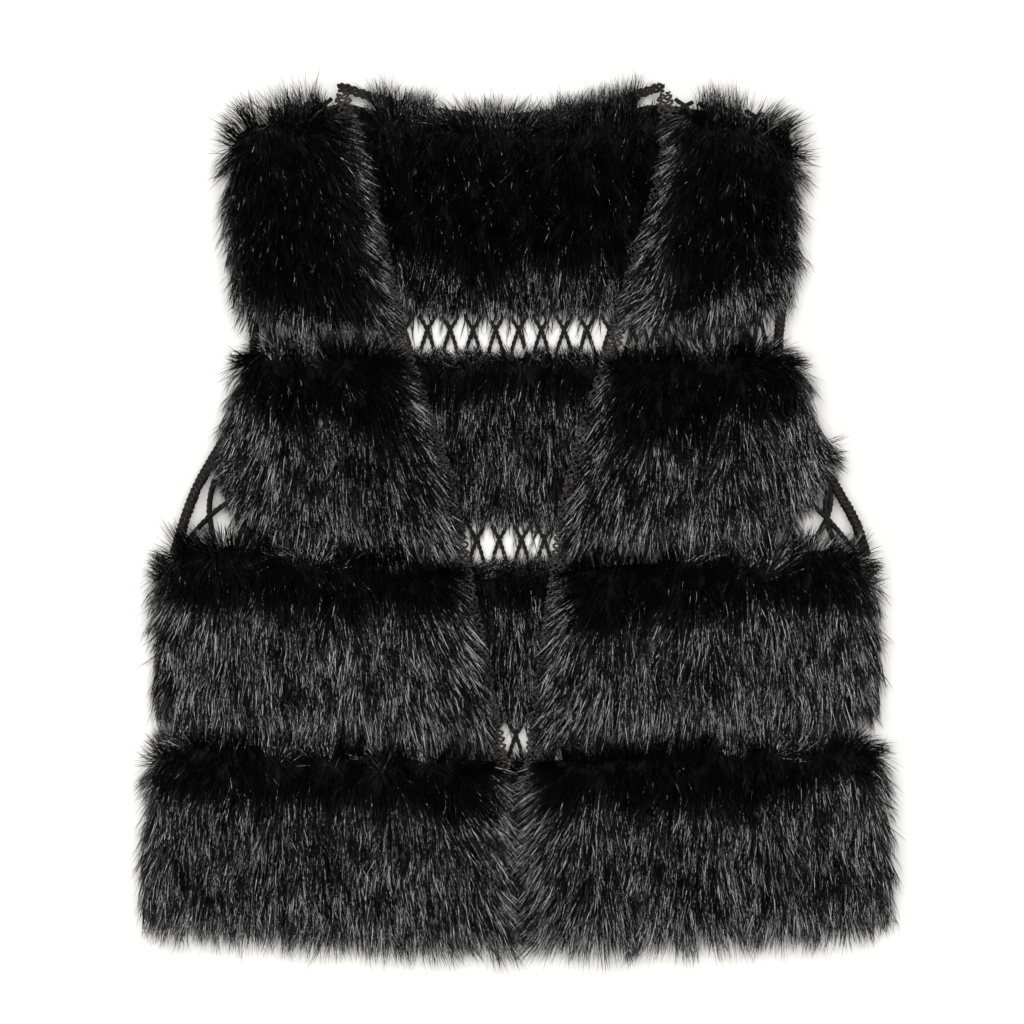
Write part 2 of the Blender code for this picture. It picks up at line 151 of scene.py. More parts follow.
# Per strip: heights of the fur's edges at the front edge and at the side, its reach from the centre line, its
# outer corners, and how far down the hair stands (mm)
FRONT_STRIPS = {
    ("left", 1): FrontRow(286, 274, 121, 137, 208, 206, 197, 15, 16, 139),
    ("left", 2): FrontRow(115, 119, -27, -12, 203, 208, 203, 14, 32, 44),
    ("left", 3): FrontRow(-31, -16, -158, -142, 252, 258, 258, 27, 16, 30),
    ("left", 4): FrontRow(-166, -154, -304, -290, 257, 265, 268, 15, 16, 27),
    ("right", 1): FrontRow(286, 272, 130, 142, 203, 199, 195, 21, 16, 112),
    ("right", 2): FrontRow(114, 117, -24, -8, 203, 223, 206, 14, 46, 48),
    ("right", 3): FrontRow(-33, -19, -157, -141, 252, 257, 259, 27, 16, 30),
    ("right", 4): FrontRow(-166, -154, -304, -290, 257, 265, 268, 13, 16, 27),
}


def smooth(table, column):
    """Smooth curve through a table's column over its first one: cubic between rows, level beyond the ends."""
    rows = table[np.argsort(table[:, 0])] * MM
    knots = rows[:, 0]
    levels = rows[:, column]
    slopes = np.gradient(levels, knots)

    def at(height):
        height = np.clip(height, knots[0], knots[-1])
        i = np.clip(np.searchsorted(knots, height) - 1, 0, len(knots) - 2)
        span = knots[i + 1] - knots[i]
        t = (height - knots[i]) / span
        start = (2 * t**3 - 3 * t**2 + 1) * levels[i] + (t**3 - 2 * t**2 + t) * span * slopes[i]
        end = (3 * t**2 - 2 * t**3) * levels[i + 1] + (t**3 - t**2) * span * slopes[i + 1]
        return start + end

    return at


front_edge = {"left": smooth(FRONT_EDGE, 1), "right": smooth(FRONT_EDGE, 2)}
armhole = smooth(ARMHOLE, 1)


def corner(distance, radius):
    """How far a rounded corner draws an edge in, at a distance from the end: a quarter circle."""
    inside = np.clip(1 - distance / radius, 0, 1)
    return radius * (1 - np.sqrt(1 - inside**2))


def rolled(distance):
    """Share of the cloth's crown near an edge: a quarter circle from 0 at the edge to 1 a roll's width in."""
    return np.sqrt(1 - np.clip(1 - distance / CLOTH_ROLL, 0, 1) ** 2)


def metres(row):
    """A row of sizes given in mm, in metres, under the same names."""
    return type(row)(*(np.array(row) * MM))


def front_strip(side, tier):
    """The cloth of a front strip: a surface over f, from front edge to side, and v, from top to bottom.

    Plan: straight top and bottom edges with rounded ends, between the front edge and the side. Height: a low
    crown that rolls down to every edge; above the armhole's rope the outer end rises to an eave.
    """
    row = metres(FRONT_STRIPS[side, tier])
    high, low = (row.top_front + row.top_side) / 2, (row.bottom_front + row.bottom_side) / 2
    width = row.reach_middle - front_edge[side]((high + low) / 2) - EDGING_WIDTH - SIDE_INSET

    def surface(f, v):
        top = row.top_front + f * (row.top_side - row.top_front) - TOP_INSET[tier] * (1 - TOP_INSET_FALL * f)
        top = top - corner(f * width, INNER_CORNER) - corner((1 - f) * width, row.upper_corner)
        bottom = row.bottom_front + f * (row.bottom_side - row.bottom_front) + BOTTOM_INSET[tier]
        bottom = bottom + corner(f * width, INNER_CORNER) + corner((1 - f) * width, row.lower_corner)
        y = top + v * (bottom - top)
        share = np.clip((high - y) / (high - low), 0, 1)
        reach = 2 * (share - 0.5) * (share - 1) * row.reach_top - 4 * share * (share - 1) * row.reach_middle
        reach = reach + 2 * share * (share - 0.5) * row.reach_bottom - SIDE_INSET
        if tier < 3:
            reach = np.minimum(reach, armhole(y) + EAVE_REACH[side, tier])
        inner = front_edge[side](y) + EDGING_WIDTH + EDGING_CLEARANCE
        x = inner + f * (reach - inner)
        tall = top - bottom
        crown = rolled(f * width) * rolled((1 - f) * width) * rolled(v * tall) * rolled((1 - v) * tall)
        z = FRONT_BASE + CLOTH_LOW + CLOTH_CROWN * crown
        if tier < 3:
            z = z + EAVE_RISE * np.clip(1 - (1 - f) * width / EAVE_WIDTH, 0, 1)
        return np.stack([SIGN[side] * x, y, z + 0 * x], -1)

    surface.width = float(width)
    surface.height = float(high - low - TOP_INSET[tier] - BOTTOM_INSET[tier])
    return surface


def cloth_shell(name, surface, material):
    """Closed thin shell: a surface on a grid, the same surface one thickness lower, and a rim between them.

    Returns the piece and the area of its upper face.
    """
    f, v = np.meshgrid(np.linspace(0, 1, CLOTH_GRID[0]), np.linspace(0, 1, CLOTH_GRID[1]), indexing="ij")
    upper = surface(f, v)
    a, b = upper[1:, 1:] - upper[:-1, :-1], upper[1:, :-1] - upper[:-1, 1:]
    facing = np.cross(b, a)
    area = float(np.linalg.norm(facing, axis=-1).sum() / 2)
    if facing[..., 2].sum() < 0:
        upper = upper[::-1]
    lower = upper - np.array((0.0, 0.0, CLOTH_THICK))
    count = f.size
    number = np.arange(count).reshape(f.shape)
    quads = np.stack([number[:-1, :-1], number[1:, :-1], number[1:, 1:], number[:-1, 1:]], -1).reshape(-1, 4)
    loop = np.concatenate([number[:-1, 0], number[-1, :-1], number[:0:-1, -1], number[0, :0:-1]])
    after = np.roll(loop, -1)
    rim = np.stack([loop, loop + count, after + count, after], -1)
    faces = np.concatenate([quads, quads[:, ::-1] + count, rim])
    mesh = bpy.data.meshes.new(name)
    points = np.concatenate([upper.reshape(-1, 3), lower.reshape(-1, 3)])
    mesh.from_pydata(points.tolist(), [], faces.tolist())
    mesh.polygons.foreach_set("use_smooth", np.ones(len(faces), bool))
    mesh.update()
    return show(name, mesh, material), area


def node_of(tree, kind, **values):
    """A new shader node of a kind, with values for its inputs by name."""
    node = tree.nodes.new("ShaderNode" + kind)
    for name, value in values.items():
        node.inputs[name].default_value = value
    return node


def wire(tree, *wires):
    """Join shader nodes; each wire is a node, its output, the next node and that one's input."""
    for start, output, end, socket in wires:
        tree.links.new(start.outputs[output], end.inputs[socket])


def ramp_of(tree, stops, tint):
    """A colour ramp through (place, grey) stops, each grey times a tint."""
    ramp = node_of(tree, "ValToRGB")
    while len(ramp.color_ramp.elements) < len(stops):
        ramp.color_ramp.elements.new(0.5)
    for element, (place, grey) in zip(ramp.color_ramp.elements, stops):
        element.position = place
        element.color = (grey * tint[0], grey * tint[1], grey * tint[2], 1.0)
    return ramp


RELIEF = 0.9
FUR_TINT = (1.0, 0.99, 1.04)


def grained(name, colour, rough, shine, stops, tint, scale, detail, depth, draw=None):
    """A material of fine grains: noise in a ramp of tones with a relief of the same, drawn out by draw."""
    made, shader = paint(name, colour, rough, shine)
    tree = made.node_tree
    source, output = node_of(tree, "TexCoord"), "Object"
    if draw:
        drawn = node_of(tree, "Mapping", Scale=draw)
        wire(tree, (source, output, drawn, "Vector"))
        source, output = drawn, "Vector"
    grains = node_of(tree, "TexNoise", Scale=scale, Detail=detail)
    tones = ramp_of(tree, stops, tint)
    relief = node_of(tree, "Bump", Strength=RELIEF, Distance=depth)
    wire(
        tree,
        (source, output, grains, "Vector"),
        (grains, "Fac", tones, "Fac"),
        (tones, "Color", shader, "Base Color"),
        (grains, "Fac", relief, "Height"),
        (relief, "Normal", shader, "Normal"),
    )
    return made


underhair = grained(
    "black_underhair", (0.003, 0.003, 0.0035, 1.0), 0.85, 0.2, ((0.3, 0.001), (0.75, 0.006)), FUR_TINT,
    1.0, 4.0, 1.2 * MM, (900.0, 110.0, 900.0),
)

front_cloth = {}
for side, tier in FRONT_STRIPS:
    surface = front_strip(side, tier)
    cloth, area = cloth_shell(f"front_{side}_fur_cloth_{tier}", surface, underhair)
    front_cloth[side, tier] = (surface, cloth, area)

# The pile of the fronts is long glossy black hair, thick enough to hide the cloth, in small tufts. It stands
# along the top edge of each strip, lies towards the hem below, and fans out over the front edge and the side.
HAIR_LENGTH = 29 * MM
HAIR_HALF_WIDTH = 0.17 * MM
GUARD_HALF_WIDTH = 0.31 * MM
TUFT_SPACING = 7.2 * MM
TUFT_SPREAD = 3.5 * MM
TOP_TUFT_SPACING = 4.4 * MM
SIDE_TUFT_SPACING = 5.0 * MM
EDGE_TUFT_DEPTH = 3.0 * MM
HAIRS_PER_TUFT = 29
GUARD_SHARE = 0.35
STRAY_SHARE = 0.16
HAIR_STEPS = np.array((0.0, 0.36, 0.7, 1.0))
HAIR_TAPER = np.array((0.8, 1.0, 0.66))
HAIR_POINTS = 7
HAIR_CORNERS = np.array((0, 1, 3, 2, 2, 3, 5, 4, 4, 5, 6))
HAIR_FACE_STARTS = np.array((0, 4, 8))
TURN_PACE = 0.85
GATHER_PACE = 1.2
MAP_MARGIN = 0.02
SHADE_MARGIN = 0.004
EVEN_STEPS = (0.7548776662, 0.5698402910)
NORMAL_STEP = 0.004
DRIFT_WAVES = 8
DRIFT_PACES = (0.55, 1.5)
DRIFT_SIZE = 2.8
FLOOR_CLEARANCE = 0.3 * MM
PILE_SOFT_TOP = 38 * MM
PILE_ROOM = 9 * MM
FRINGE_FOLD = {1: 0.0, 2: 40.0, 3: 40.0, 4: 40.0}
SIDE_TURN = {1: 24.0, 2: 18.0, 3: 11.0, 4: 11.0}
# How hair leaves its root and ends, in degrees above the cloth: lying, and what is added to it
Growth = namedtuple("Growth", "rise droop")
LYING = Growth(30, -3)
STANDING = Growth(42, 46)
FLUNG = Growth(56, 104)
FLUNG_PER_FOLD = Growth(0.55, 1.1)
AT_SIDE = Growth(-8, -14)
BY_TUFT = Growth(5, 6)
BY_HAIR = Growth(5, 6)
STRAY_RISE = -16
STRAY_DROOP = (25, 65)
# Where hair stands: where half of it does, and the share lost and reach (mm) at the front edge and the side
STAND_MIDDLE = 0.87
STAND_DRIFT = 50 * MM
STAND_WAVER = 0.25
STAND_BLEND = 0.5
STAND_LOST_FRONT, STAND_REACH_FRONT = 0.95, 26.0
STAND_LOST_SIDE = (0.8, 9.0)
# Where hair is flung back over the top edge: depth (mm), how it fades, how far tuft and hair differ
FLING_DEPTH, FLING_LEAST_DEPTH = 8.0, 2.5
FLING_WAVER, FLING_DRIFT = 0.4, 48 * MM
FLING_FADE = 1.8
FLING_BLEND = 0.3
TUFT_CHOICE, HAIR_CHOICE = 1.3, 1.2
CORNER_REACH = 30.0
SIDE_REACH = 14.0
# Which way hair lies: turns in degrees to the front edge and to the side, with their reaches (mm)
FRONT_TURN, FRONT_TURN_REACH = 38, 30.0
FRONT_TOP_TURN = (30, 40.0)
SIDE_TURN_REACH = 26.0
SIDE_TOP_TURN = (42, 24.0)
FLUNG_SIDE_TURN, FLUNG_SIDE_REACH = 30, 90.0
TURN_WAVER, TURN_DRIFT = 9, 55 * MM
TUFT_TURN, HAIR_TURN = 5, 4
LOOSE_STANDING = 0.5
LOOSE_TURN, LOOSE_TURN_PER_FOLD, LOOSE_HAIR_TURN = 28, 0.5, 16
LOOSE_DRIFT = 36 * MM
# How long hair is: spreads of its share of the full length, and where it is shorter, with the reaches (mm)
TUFT_SPREAD_SHARE, HAIR_SPREAD_SHARE = 0.1, 0.1
STANDING_SHORTER = 0.28
FOLD_SHORTER, CORNER_FOLD_SHORTER = 0.006, 0.7
FRONT_SHORTER, FRONT_SHORT_REACH = 0.2, 14.0
FRONT_TOP_SHORTER = (0.3, 45.0)
SIDE_SHORTER = 0.15


def drift(x, y, span, seed):
    """Slow random drift over the cloth: a sum of sine waves about one span long, mostly within -1 and 1."""
    chance = np.random.default_rng(seed)
    turn = chance.uniform(0, 2 * np.pi, DRIFT_WAVES)
    phase = chance.uniform(0, 2 * np.pi, DRIFT_WAVES)
    pace = chance.uniform(*DRIFT_PACES, DRIFT_WAVES) * 2 * np.pi / span
    waves = np.sin(pace * (np.cos(turn) * x[..., None] + np.sin(turn) * y[..., None]) + phase)
    return waves.sum(-1) / DRIFT_SIZE


def unit(vectors):
    """Vectors of length one along the given ones."""
    return vectors / np.maximum(np.linalg.norm(vectors, axis=-1, keepdims=True), 1e-12)


def pile_mesh(name, root, up, lie, rise, droop, length, half_width, roll, gather, curl, shade):
    """Joined hairs, each a narrow blade of three spans that ends in a point.

    A hair leaves its root at rise degrees above the way it lies and its direction turns to droop degrees at
    the tip. Its line is drawn towards its tuft by gather, and sideways by curl, both growing along it. Its
    map holds the hair's own shade across and the way from root to tip along.
    """
    count = len(root)
    spans = np.diff(HAIR_STEPS)
    middles = (HAIR_STEPS[1:] + HAIR_STEPS[:-1]) / 2
    angle = np.radians(rise[:, None] + (droop - rise)[:, None] * middles**TURN_PACE)
    start = np.zeros((count, 1))
    ahead = np.concatenate([start, np.cumsum(np.cos(angle) * spans, 1)], 1) * length[:, None]
    above = np.concatenate([start, np.cumsum(np.sin(angle) * spans, 1)], 1) * length[:, None]
    aside = np.cross(up, lie)
    line = root[:, None] + ahead[..., None] * lie[:, None] + above[..., None] * up[:, None]
    line = line + gather[:, None] * (HAIR_STEPS**GATHER_PACE)[:, None]
    line = line + (curl * length)[:, None, None] * (HAIR_STEPS**2)[:, None] * aside[:, None]
    over = np.maximum(line[..., 2] - PILE_SOFT_TOP, 0)
    line[..., 2] = line[..., 2] - over + PILE_ROOM * np.tanh(over / PILE_ROOM)
    tangent = unit(line[:, 2] - line[:, 1])
    across = np.cos(roll)[:, None] * aside + np.sin(roll)[:, None] * np.cross(tangent, aside)
    edge = across[:, None] * (half_width[:, None] * HAIR_TAPER)[..., None]
    points = np.empty((count, HAIR_POINTS, 3))
    points[:, 0:6:2] = line[:, :3] - edge
    points[:, 1:6:2] = line[:, :3] + edge
    points[:, 6] = line[:, 3]
    points[..., 2] = np.maximum(points[..., 2], FLOOR_CLEARANCE)
    first_point = HAIR_POINTS * np.arange(count)[:, None]
    first_corner = len(HAIR_CORNERS) * np.arange(count)[:, None]
    faces = count * len(HAIR_FACE_STARTS)
    mesh = bpy.data.meshes.new(name)
    mesh.vertices.add(count * HAIR_POINTS)
    mesh.vertices.foreach_set("co", points.ravel())
    mesh.loops.add(count * len(HAIR_CORNERS))
    mesh.loops.foreach_set("vertex_index", (first_point + HAIR_CORNERS).ravel())
    mesh.polygons.add(faces)
    mesh.polygons.foreach_set("loop_start", (first_corner + HAIR_FACE_STARTS).ravel())
    mesh.polygons.foreach_set("use_smooth", np.ones(faces, bool))
    mesh.update(calc_edges=True)
    place = np.empty((count, HAIR_POINTS, 2))
    place[:, 0:6:2, 0] = shade[:, None] - SHADE_MARGIN
    place[:, 1:6:2, 0] = shade[:, None] + SHADE_MARGIN
    place[:, 6, 0] = shade
    place[:, :6, 1] = np.repeat(MAP_MARGIN + (1 - 2 * MAP_MARGIN) * HAIR_STEPS[:3], 2)
    place[:, 6, 1] = 1 - MAP_MARGIN
    layer = mesh.uv_layers.new(name="OFBake")
    layer.data.foreach_set("uv", place[:, HAIR_CORNERS].ravel())
    return mesh


def folded(share):
    """Shares that overshoot 0 or 1 turned back inside."""
    return 1 - np.abs(1 - np.abs(share))


def tufted(surface, chance, area, ends, top_spacing):
    """Hairs in tufts on a surface: tufts scattered evenly over it and closer along its top edge and its ends.

    Returns the hairs' two parameters, their root, outward normal and pull to the tuft's middle, and three
    random numbers that a tuft's hairs share.
    """
    tufts = int(area / TUFT_SPACING**2)
    along_top = int(surface.width / top_spacing)
    along_end = int(surface.height / SIDE_TUFT_SPACING)
    order = np.arange(tufts)
    inset_v = np.abs(chance.normal(0, EDGE_TUFT_DEPTH / surface.height, along_top))
    inset_f = np.abs(chance.normal(0, EDGE_TUFT_DEPTH / surface.width, along_end * len(ends)))
    tuft_f = np.concatenate([
        (chance.uniform() + order * EVEN_STEPS[0]) % 1,
        (np.arange(along_top) + chance.uniform(size=along_top)) / along_top,
        np.abs(np.repeat(ends, along_end) - inset_f),
    ])
    tuft_v = np.concatenate([
        (chance.uniform() + order * EVEN_STEPS[1]) % 1,
        inset_v,
        chance.uniform(size=along_end * len(ends)),
    ])
    total = len(tuft_f) * HAIRS_PER_TUFT
    f = folded(np.repeat(tuft_f, HAIRS_PER_TUFT) + chance.normal(0, TUFT_SPREAD / surface.width, total))
    v = folded(np.repeat(tuft_v, HAIRS_PER_TUFT) + chance.normal(0, TUFT_SPREAD / surface.height, total))
    root = surface(f, v)
    along_f = surface(np.minimum(f + NORMAL_STEP, 1), v) - surface(np.maximum(f - NORMAL_STEP, 0), v)
    along_v = surface(f, np.minimum(v + NORMAL_STEP, 1)) - surface(f, np.maximum(v - NORMAL_STEP, 0))
    normal = unit(np.cross(along_f, along_v))
    normal = normal * np.where(normal[:, 2:] < 0, -1.0, 1.0)
    middle = np.repeat(surface(tuft_f, tuft_v), HAIRS_PER_TUFT, 0)
    shared = np.repeat(chance.normal(size=(len(tuft_f), 3)), HAIRS_PER_TUFT, 0)
    return f, v, root, normal, middle - root, shared


def eased(share):
    """Smooth step from 0 to 1."""
    share = np.clip(share, 0, 1)
    return share**2 * (3 - 2 * share)


def near(distance, reach):
    """Nearness to an edge: 1 at it, falling by e for every reach of distance."""
    return np.exp(-distance / reach)


def fading(distance, amount, reach):
    """An amount at an edge that fades with the distance from it over a reach."""
    return amount * near(distance, reach)


def combed(
    root, from_top, from_front, from_side, sign, turn, stand_end, fling, fold, shared, chance, seed,
    waver=STAND_WAVER, blend=STAND_BLEND,
):
    """How each hair grows at its place: rise, droop and azimuth in degrees, and share of the full length.

    Upright from the top edge down to stand_end, lying below; flung back over the top edge itself; turned to
    the front edge near it and by turn degrees to the side near that. Distances in mm; sign turns the side
    over; fling is the share that is flung back and fold how many degrees further it leans, shorter for it.
    stand_end wavers by a share and blends over another share of it. Tufts and hairs stray for themselves.
    """
    x, y = root[:, 0], root[:, 1]
    count = len(x)
    line = from_top / (stand_end * (1 + waver * drift(x, y, STAND_DRIFT, seed + 1)))
    stands = 1 - eased((line - STAND_MIDDLE) / blend + 0.5)
    stands = stands * (1 - STAND_LOST_FRONT * np.exp(-((from_front / STAND_REACH_FRONT) ** 2)))
    stands = stands * (1 - fading(from_side, *STAND_LOST_SIDE))
    depth = FLING_DEPTH * (1 + FLING_WAVER * drift(x, y, FLING_DRIFT, seed + 4))
    likely = np.exp(-((from_top / np.maximum(depth, FLING_LEAST_DEPTH)) ** FLING_FADE))
    own = 1 / (1 + np.exp(-TUFT_CHOICE * shared[:, 1] - chance.normal(0, HAIR_CHOICE, count)))
    fling = np.maximum(np.clip(fling, 0, 1), near(from_side, CORNER_REACH))
    fringe = fling * eased((likely - own) / FLING_BLEND + 0.5)
    at_side = near(from_side, SIDE_REACH)
    rise = LYING.rise + STANDING.rise * stands + (FLUNG.rise + FLUNG_PER_FOLD.rise * fold) * fringe
    rise = rise + AT_SIDE.rise * at_side + BY_TUFT.rise * shared[:, 0] + chance.normal(0, BY_HAIR.rise, count)
    droop = LYING.droop + STANDING.droop * stands + (FLUNG.droop + FLUNG_PER_FOLD.droop * fold) * fringe
    droop = droop + AT_SIDE.droop * at_side * (1 - fringe) + BY_TUFT.droop * shared[:, 0]
    droop = droop + chance.normal(0, BY_HAIR.droop, count)
    stray = stands * (chance.uniform(size=count) < STRAY_SHARE) * (fringe < FLING_BLEND)
    rise = rise + STRAY_RISE * stray
    droop = droop - chance.uniform(*STRAY_DROOP, count) * stray
    to_front = FRONT_TURN + fading(from_top, *FRONT_TOP_TURN)
    to_front = to_front * near(from_front, FRONT_TURN_REACH)
    to_side = (turn + fading(from_top, *SIDE_TOP_TURN)) * near(from_side, SIDE_TURN_REACH)
    to_side = to_side + FLUNG_SIDE_TURN * fringe * near(from_side, FLUNG_SIDE_REACH)
    azimuth = sign * (to_side - to_front) + TURN_WAVER * drift(x, y, TURN_DRIFT, seed + 2)
    azimuth = azimuth + TUFT_TURN * shared[:, 0] + chance.normal(0, HAIR_TURN, count)
    loose = np.maximum(fringe, LOOSE_STANDING * stands)
    sway = (LOOSE_TURN + LOOSE_TURN_PER_FOLD * fold) * drift(x, y, LOOSE_DRIFT, seed + 3)
    azimuth = azimuth + (sway + chance.normal(0, LOOSE_HAIR_TURN, count)) * loose
    azimuth = np.where(rise + droop > 180, -azimuth, azimuth)
    share = 1 + TUFT_SPREAD_SHARE * shared[:, 2] + chance.normal(0, HAIR_SPREAD_SHARE, count)
    share = share * (1 - STANDING_SHORTER * stands * (1 - fringe))
    at_corner = 1 + CORNER_FOLD_SHORTER * near(from_side, CORNER_REACH)
    share = share * (1 - FOLD_SHORTER * fold * fringe * at_corner)
    at_front = FRONT_SHORTER + fading(from_top, *FRONT_TOP_SHORTER)
    share = share * (1 - near(from_front, FRONT_SHORT_REACH) * at_front - SIDE_SHORTER * at_side)
    return rise, droop, azimuth, share


def lying(azimuth, normal, sign):
    """Unit direction in the cloth for an azimuth in degrees: 0 is to the hem, positive turns to the side."""
    way = np.radians(azimuth)
    flat = np.stack([sign * np.sin(way), -np.cos(way), 0 * way], -1)
    return unit(flat - (flat * normal).sum(-1, keepdims=True) * normal)


long_hair, long_hair_shader = paint("black_long_hair", (0.006, 0.006, 0.0063, 1.0), 0.225, 0.76)
tree = long_hair.node_tree
hair_map = node_of(tree, "UVMap")
hair_map.uv_map = "OFBake"
hair_parts = node_of(tree, "SeparateXYZ")
hair_tones = ramp_of(tree, ((0.05, 0.0003), (0.5, 0.001), (0.85, 0.004), (1.0, 0.014)), FUR_TINT)
# Painted shade: each hair's base colour darkens towards its root, to 0.3 of its tone there, for the shade
# deep in the pile
root_painted_shade = node_of(tree, "MapRange", **{"To Min": 0.3, "To Max": 1.0})
hair_colour_with_painted_shade = node_of(tree, "VectorMath")
hair_colour_with_painted_shade.operation = "SCALE"
strand_draw = node_of(tree, "Mapping", Scale=(15.0, 5.0, 1.0))
waves = node_of(tree, "TexNoise", Scale=1.0, Detail=1.0)
strand_relief = node_of(tree, "Bump", Strength=1.0, Distance=0.6 * MM)
wire(
    tree,
    (hair_map, "UV", strand_draw, "Vector"),
    (strand_draw, "Vector", waves, "Vector"),
    (waves, "Fac", strand_relief, "Height"),
    (strand_relief, "Normal", long_hair_shader, "Normal"),
    (hair_map, "UV", hair_parts, "Vector"),
    (hair_parts, "X", hair_tones, "Fac"),
    (hair_parts, "Y", root_painted_shade, "Value"),
    (hair_tones, "Color", hair_colour_with_painted_shade, 0),
    (root_painted_shade, "Result", hair_colour_with_painted_shade, "Scale"),
    (hair_colour_with_painted_shade, "Vector", long_hair_shader, "Base Color"),
)

SHADE_MIDDLE, SHADE_BY_TUFT, SHADE_BY_HAIR = 0.5, 0.14, 0.2
SHADE_RANGE = (0.03, 0.97)
WIDTH_RANGE = (0.75, 1.25)
GATHER_RANGE = (0.3, 0.85)
ROLL_SPREAD = 0.6
CURL_SPREAD = 0.07


def put_pile(name, root, normal, lie, rise, droop, share, pull, shared, chance):
    """Show a pile of hairs with their growth, in widths, rolls and shades that differ from hair to hair."""
    count = len(root)
    shade = SHADE_MIDDLE + SHADE_BY_TUFT * shared[:, 2] + chance.normal(0, SHADE_BY_HAIR, count)
    shade = np.clip(shade, *SHADE_RANGE)
    guard = chance.uniform(size=count) < GUARD_SHARE
    width = np.where(guard, GUARD_HALF_WIDTH, HAIR_HALF_WIDTH) * chance.uniform(*WIDTH_RANGE, count)
    gather = pull * chance.uniform(*GATHER_RANGE, count)[:, None]
    roll = chance.normal(0, ROLL_SPREAD, count)
    curl = chance.normal(0, CURL_SPREAD, count)
    length = HAIR_LENGTH * share
    mesh = pile_mesh(name, root, normal, lie, rise, droop, length, width, roll, gather, curl, shade)
    pile = show(name, mesh, long_hair)
    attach(pile, "root")
    return pile


# What is particular to a tier of the fronts: turns in degrees, shares, and places and reaches in mm
SHOULDER_FLING_REACH, SHOULDER_FLING_START = 22, 0.15
SHOULDER_FRONT_TURN = 12
EDGE_FLING, EDGE_FLING_WAVER, EDGE_FLING_DRIFT = 0.85, 0.35, 46 * MM
INNER_FLING_LOST, INNER_FLING_REACH = 0.4, 70
FLARE_TURN, FLARE_REACH, FLARE_HEIGHT, FLARE_SPAN = 42, 16.0, 34, 24.0
UNDERARM_SHORTER, UNDERARM_REACH = 0.4, 30.0
LOCK_PLACE, LOCK_HALF_WIDTH, LOCK_DEPTH = 13, 4.0, 7.0
LOCK_STRAIGHT, LOCK_LONGER = 0.85, 0.6
HEM_FRONT_LONGER = (0.35, 14.0)
HEM_LIFT = Growth(4, 6)
RIM_DROOP = (50, 5.0)


def front_pile(side, tier, seed):
    """The pile of one front strip; returns the piece.

    On tier 1 none is flung back at the front edge, on tiers 3 and 4 less on the inner half. Tier 2 flares
    over the underarm, tier 3 has a longer lock near its outer end, tier 4 is fuller and longer in front.
    """
    surface, _, area = front_cloth[side, tier]
    chance = np.random.default_rng(seed)
    f, v, root, normal, pull, shared = tufted(surface, chance, area, (1.0,), TOP_TUFT_SPACING)
    from_front = f * surface.width / MM
    from_side = (1 - f) * surface.width / MM
    from_top = v * surface.height / MM
    from_bottom = (1 - v) * surface.height / MM
    if tier == 1:
        fling = eased(from_front / SHOULDER_FLING_REACH - SHOULDER_FLING_START)
    else:
        fling = EDGE_FLING + EDGE_FLING_WAVER * drift(root[:, 0], root[:, 1], EDGE_FLING_DRIFT, seed + 5)
    if tier > 2:
        fling = fling - INNER_FLING_LOST * (1 - eased((from_front - INNER_FLING_REACH) / INNER_FLING_REACH))
    rise, droop, azimuth, share = combed(
        root, from_top, from_front, from_side, 1.0, SIDE_TURN[tier], FRONT_STRIPS[side, tier].stand_end,
        fling, FRINGE_FOLD[tier], shared, chance, seed,
    )
    if tier == 1:
        azimuth = azimuth - SHOULDER_FRONT_TURN * near(from_front, FRONT_TURN_REACH)
    if tier == 2:
        flare = np.exp(-from_side / FLARE_REACH - ((from_bottom - FLARE_HEIGHT) / FLARE_SPAN) ** 2)
        azimuth = azimuth + FLARE_TURN * flare
        at_underarm = np.exp(-from_side / UNDERARM_REACH - from_bottom / UNDERARM_REACH)
        share = share * (1 - UNDERARM_SHORTER * at_underarm)
    if tier == 3:
        lock = np.exp(-(((from_side - LOCK_PLACE) / LOCK_HALF_WIDTH) ** 2) - (from_top / LOCK_DEPTH) ** 2)
        azimuth = azimuth * (1 - LOCK_STRAIGHT * lock)
        share = share * (1 + LOCK_LONGER * lock)
    if tier == 4:
        share = share * (1 + fading(from_front, *HEM_FRONT_LONGER))
        rise, droop = rise + HEM_LIFT.rise, droop + HEM_LIFT.droop
    droop = droop - fading(from_side, *RIM_DROOP) * chance.uniform(size=len(f))
    lie = lying(azimuth, normal, SIGN[side])
    return put_pile(
        f"front_{side}_pile_{tier}", root, normal, lie, rise, droop, share, pull, shared, chance
    )


for number, (side, tier) in enumerate(FRONT_STRIPS):
    surface, cloth, area = front_cloth[side, tier]
    pile = front_pile(side, tier, 1000 + 10 * number)
    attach(cloth, "root")
    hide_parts(f"front_{side}_band_{tier}")

# The back is four fur strips of the same cloth, each across the whole width. They lie on the surface; their
# upper face shows between the fronts, and their hair hangs out all round.
BACK_TOP_INSET = {1: 6 * MM, 2: 4.5 * MM, 3: 4 * MM, 4: 4 * MM}
BACK_BOTTOM_INSET = {1: 7 * MM, 2: 6 * MM, 3: 7 * MM, 4: 17 * MM}
BACK_CLOTH_LEVEL = 9.0 * MM
BACK_CLOTH_CROWN = 2.0 * MM
NECK_LEFT = 121 * MM
NECK_RIGHT = 99 * MM
NECK_MIDDLE_Y = 282 * MM
NECK_DEPTH = 17 * MM
NECK_ROUND = 1.8
SHOULDER_FALL = 0.16
BACK_TUFT_SPACING = 3.2 * MM
BACK_FOLD = {1: 24.0, 2: 30.0, 3: 30.0, 4: 30.0}
BACK_WAVER = {1: 0.06, 2: STAND_WAVER, 3: STAND_WAVER, 4: STAND_WAVER}
BACK_BLEND = {1: 0.24, 2: STAND_BLEND, 3: STAND_BLEND, 4: STAND_BLEND}
BACK_FRINGE_SHARE = {1: 1.0, 2: 0.5, 3: 0.5, 4: 0.5}
NECK_FRINGE = (98 * MM, 85 * MM)
BARE_DEPTH, BARE_SHARE = 14, 0.35
FLUNG_FROM = 95
OPEN_MARGIN = 14 * MM
COVERED_SIDE = 9 * MM
COVERED_RIM = 5 * MM
COVERED_LYING = Growth(12.0, -2.0)
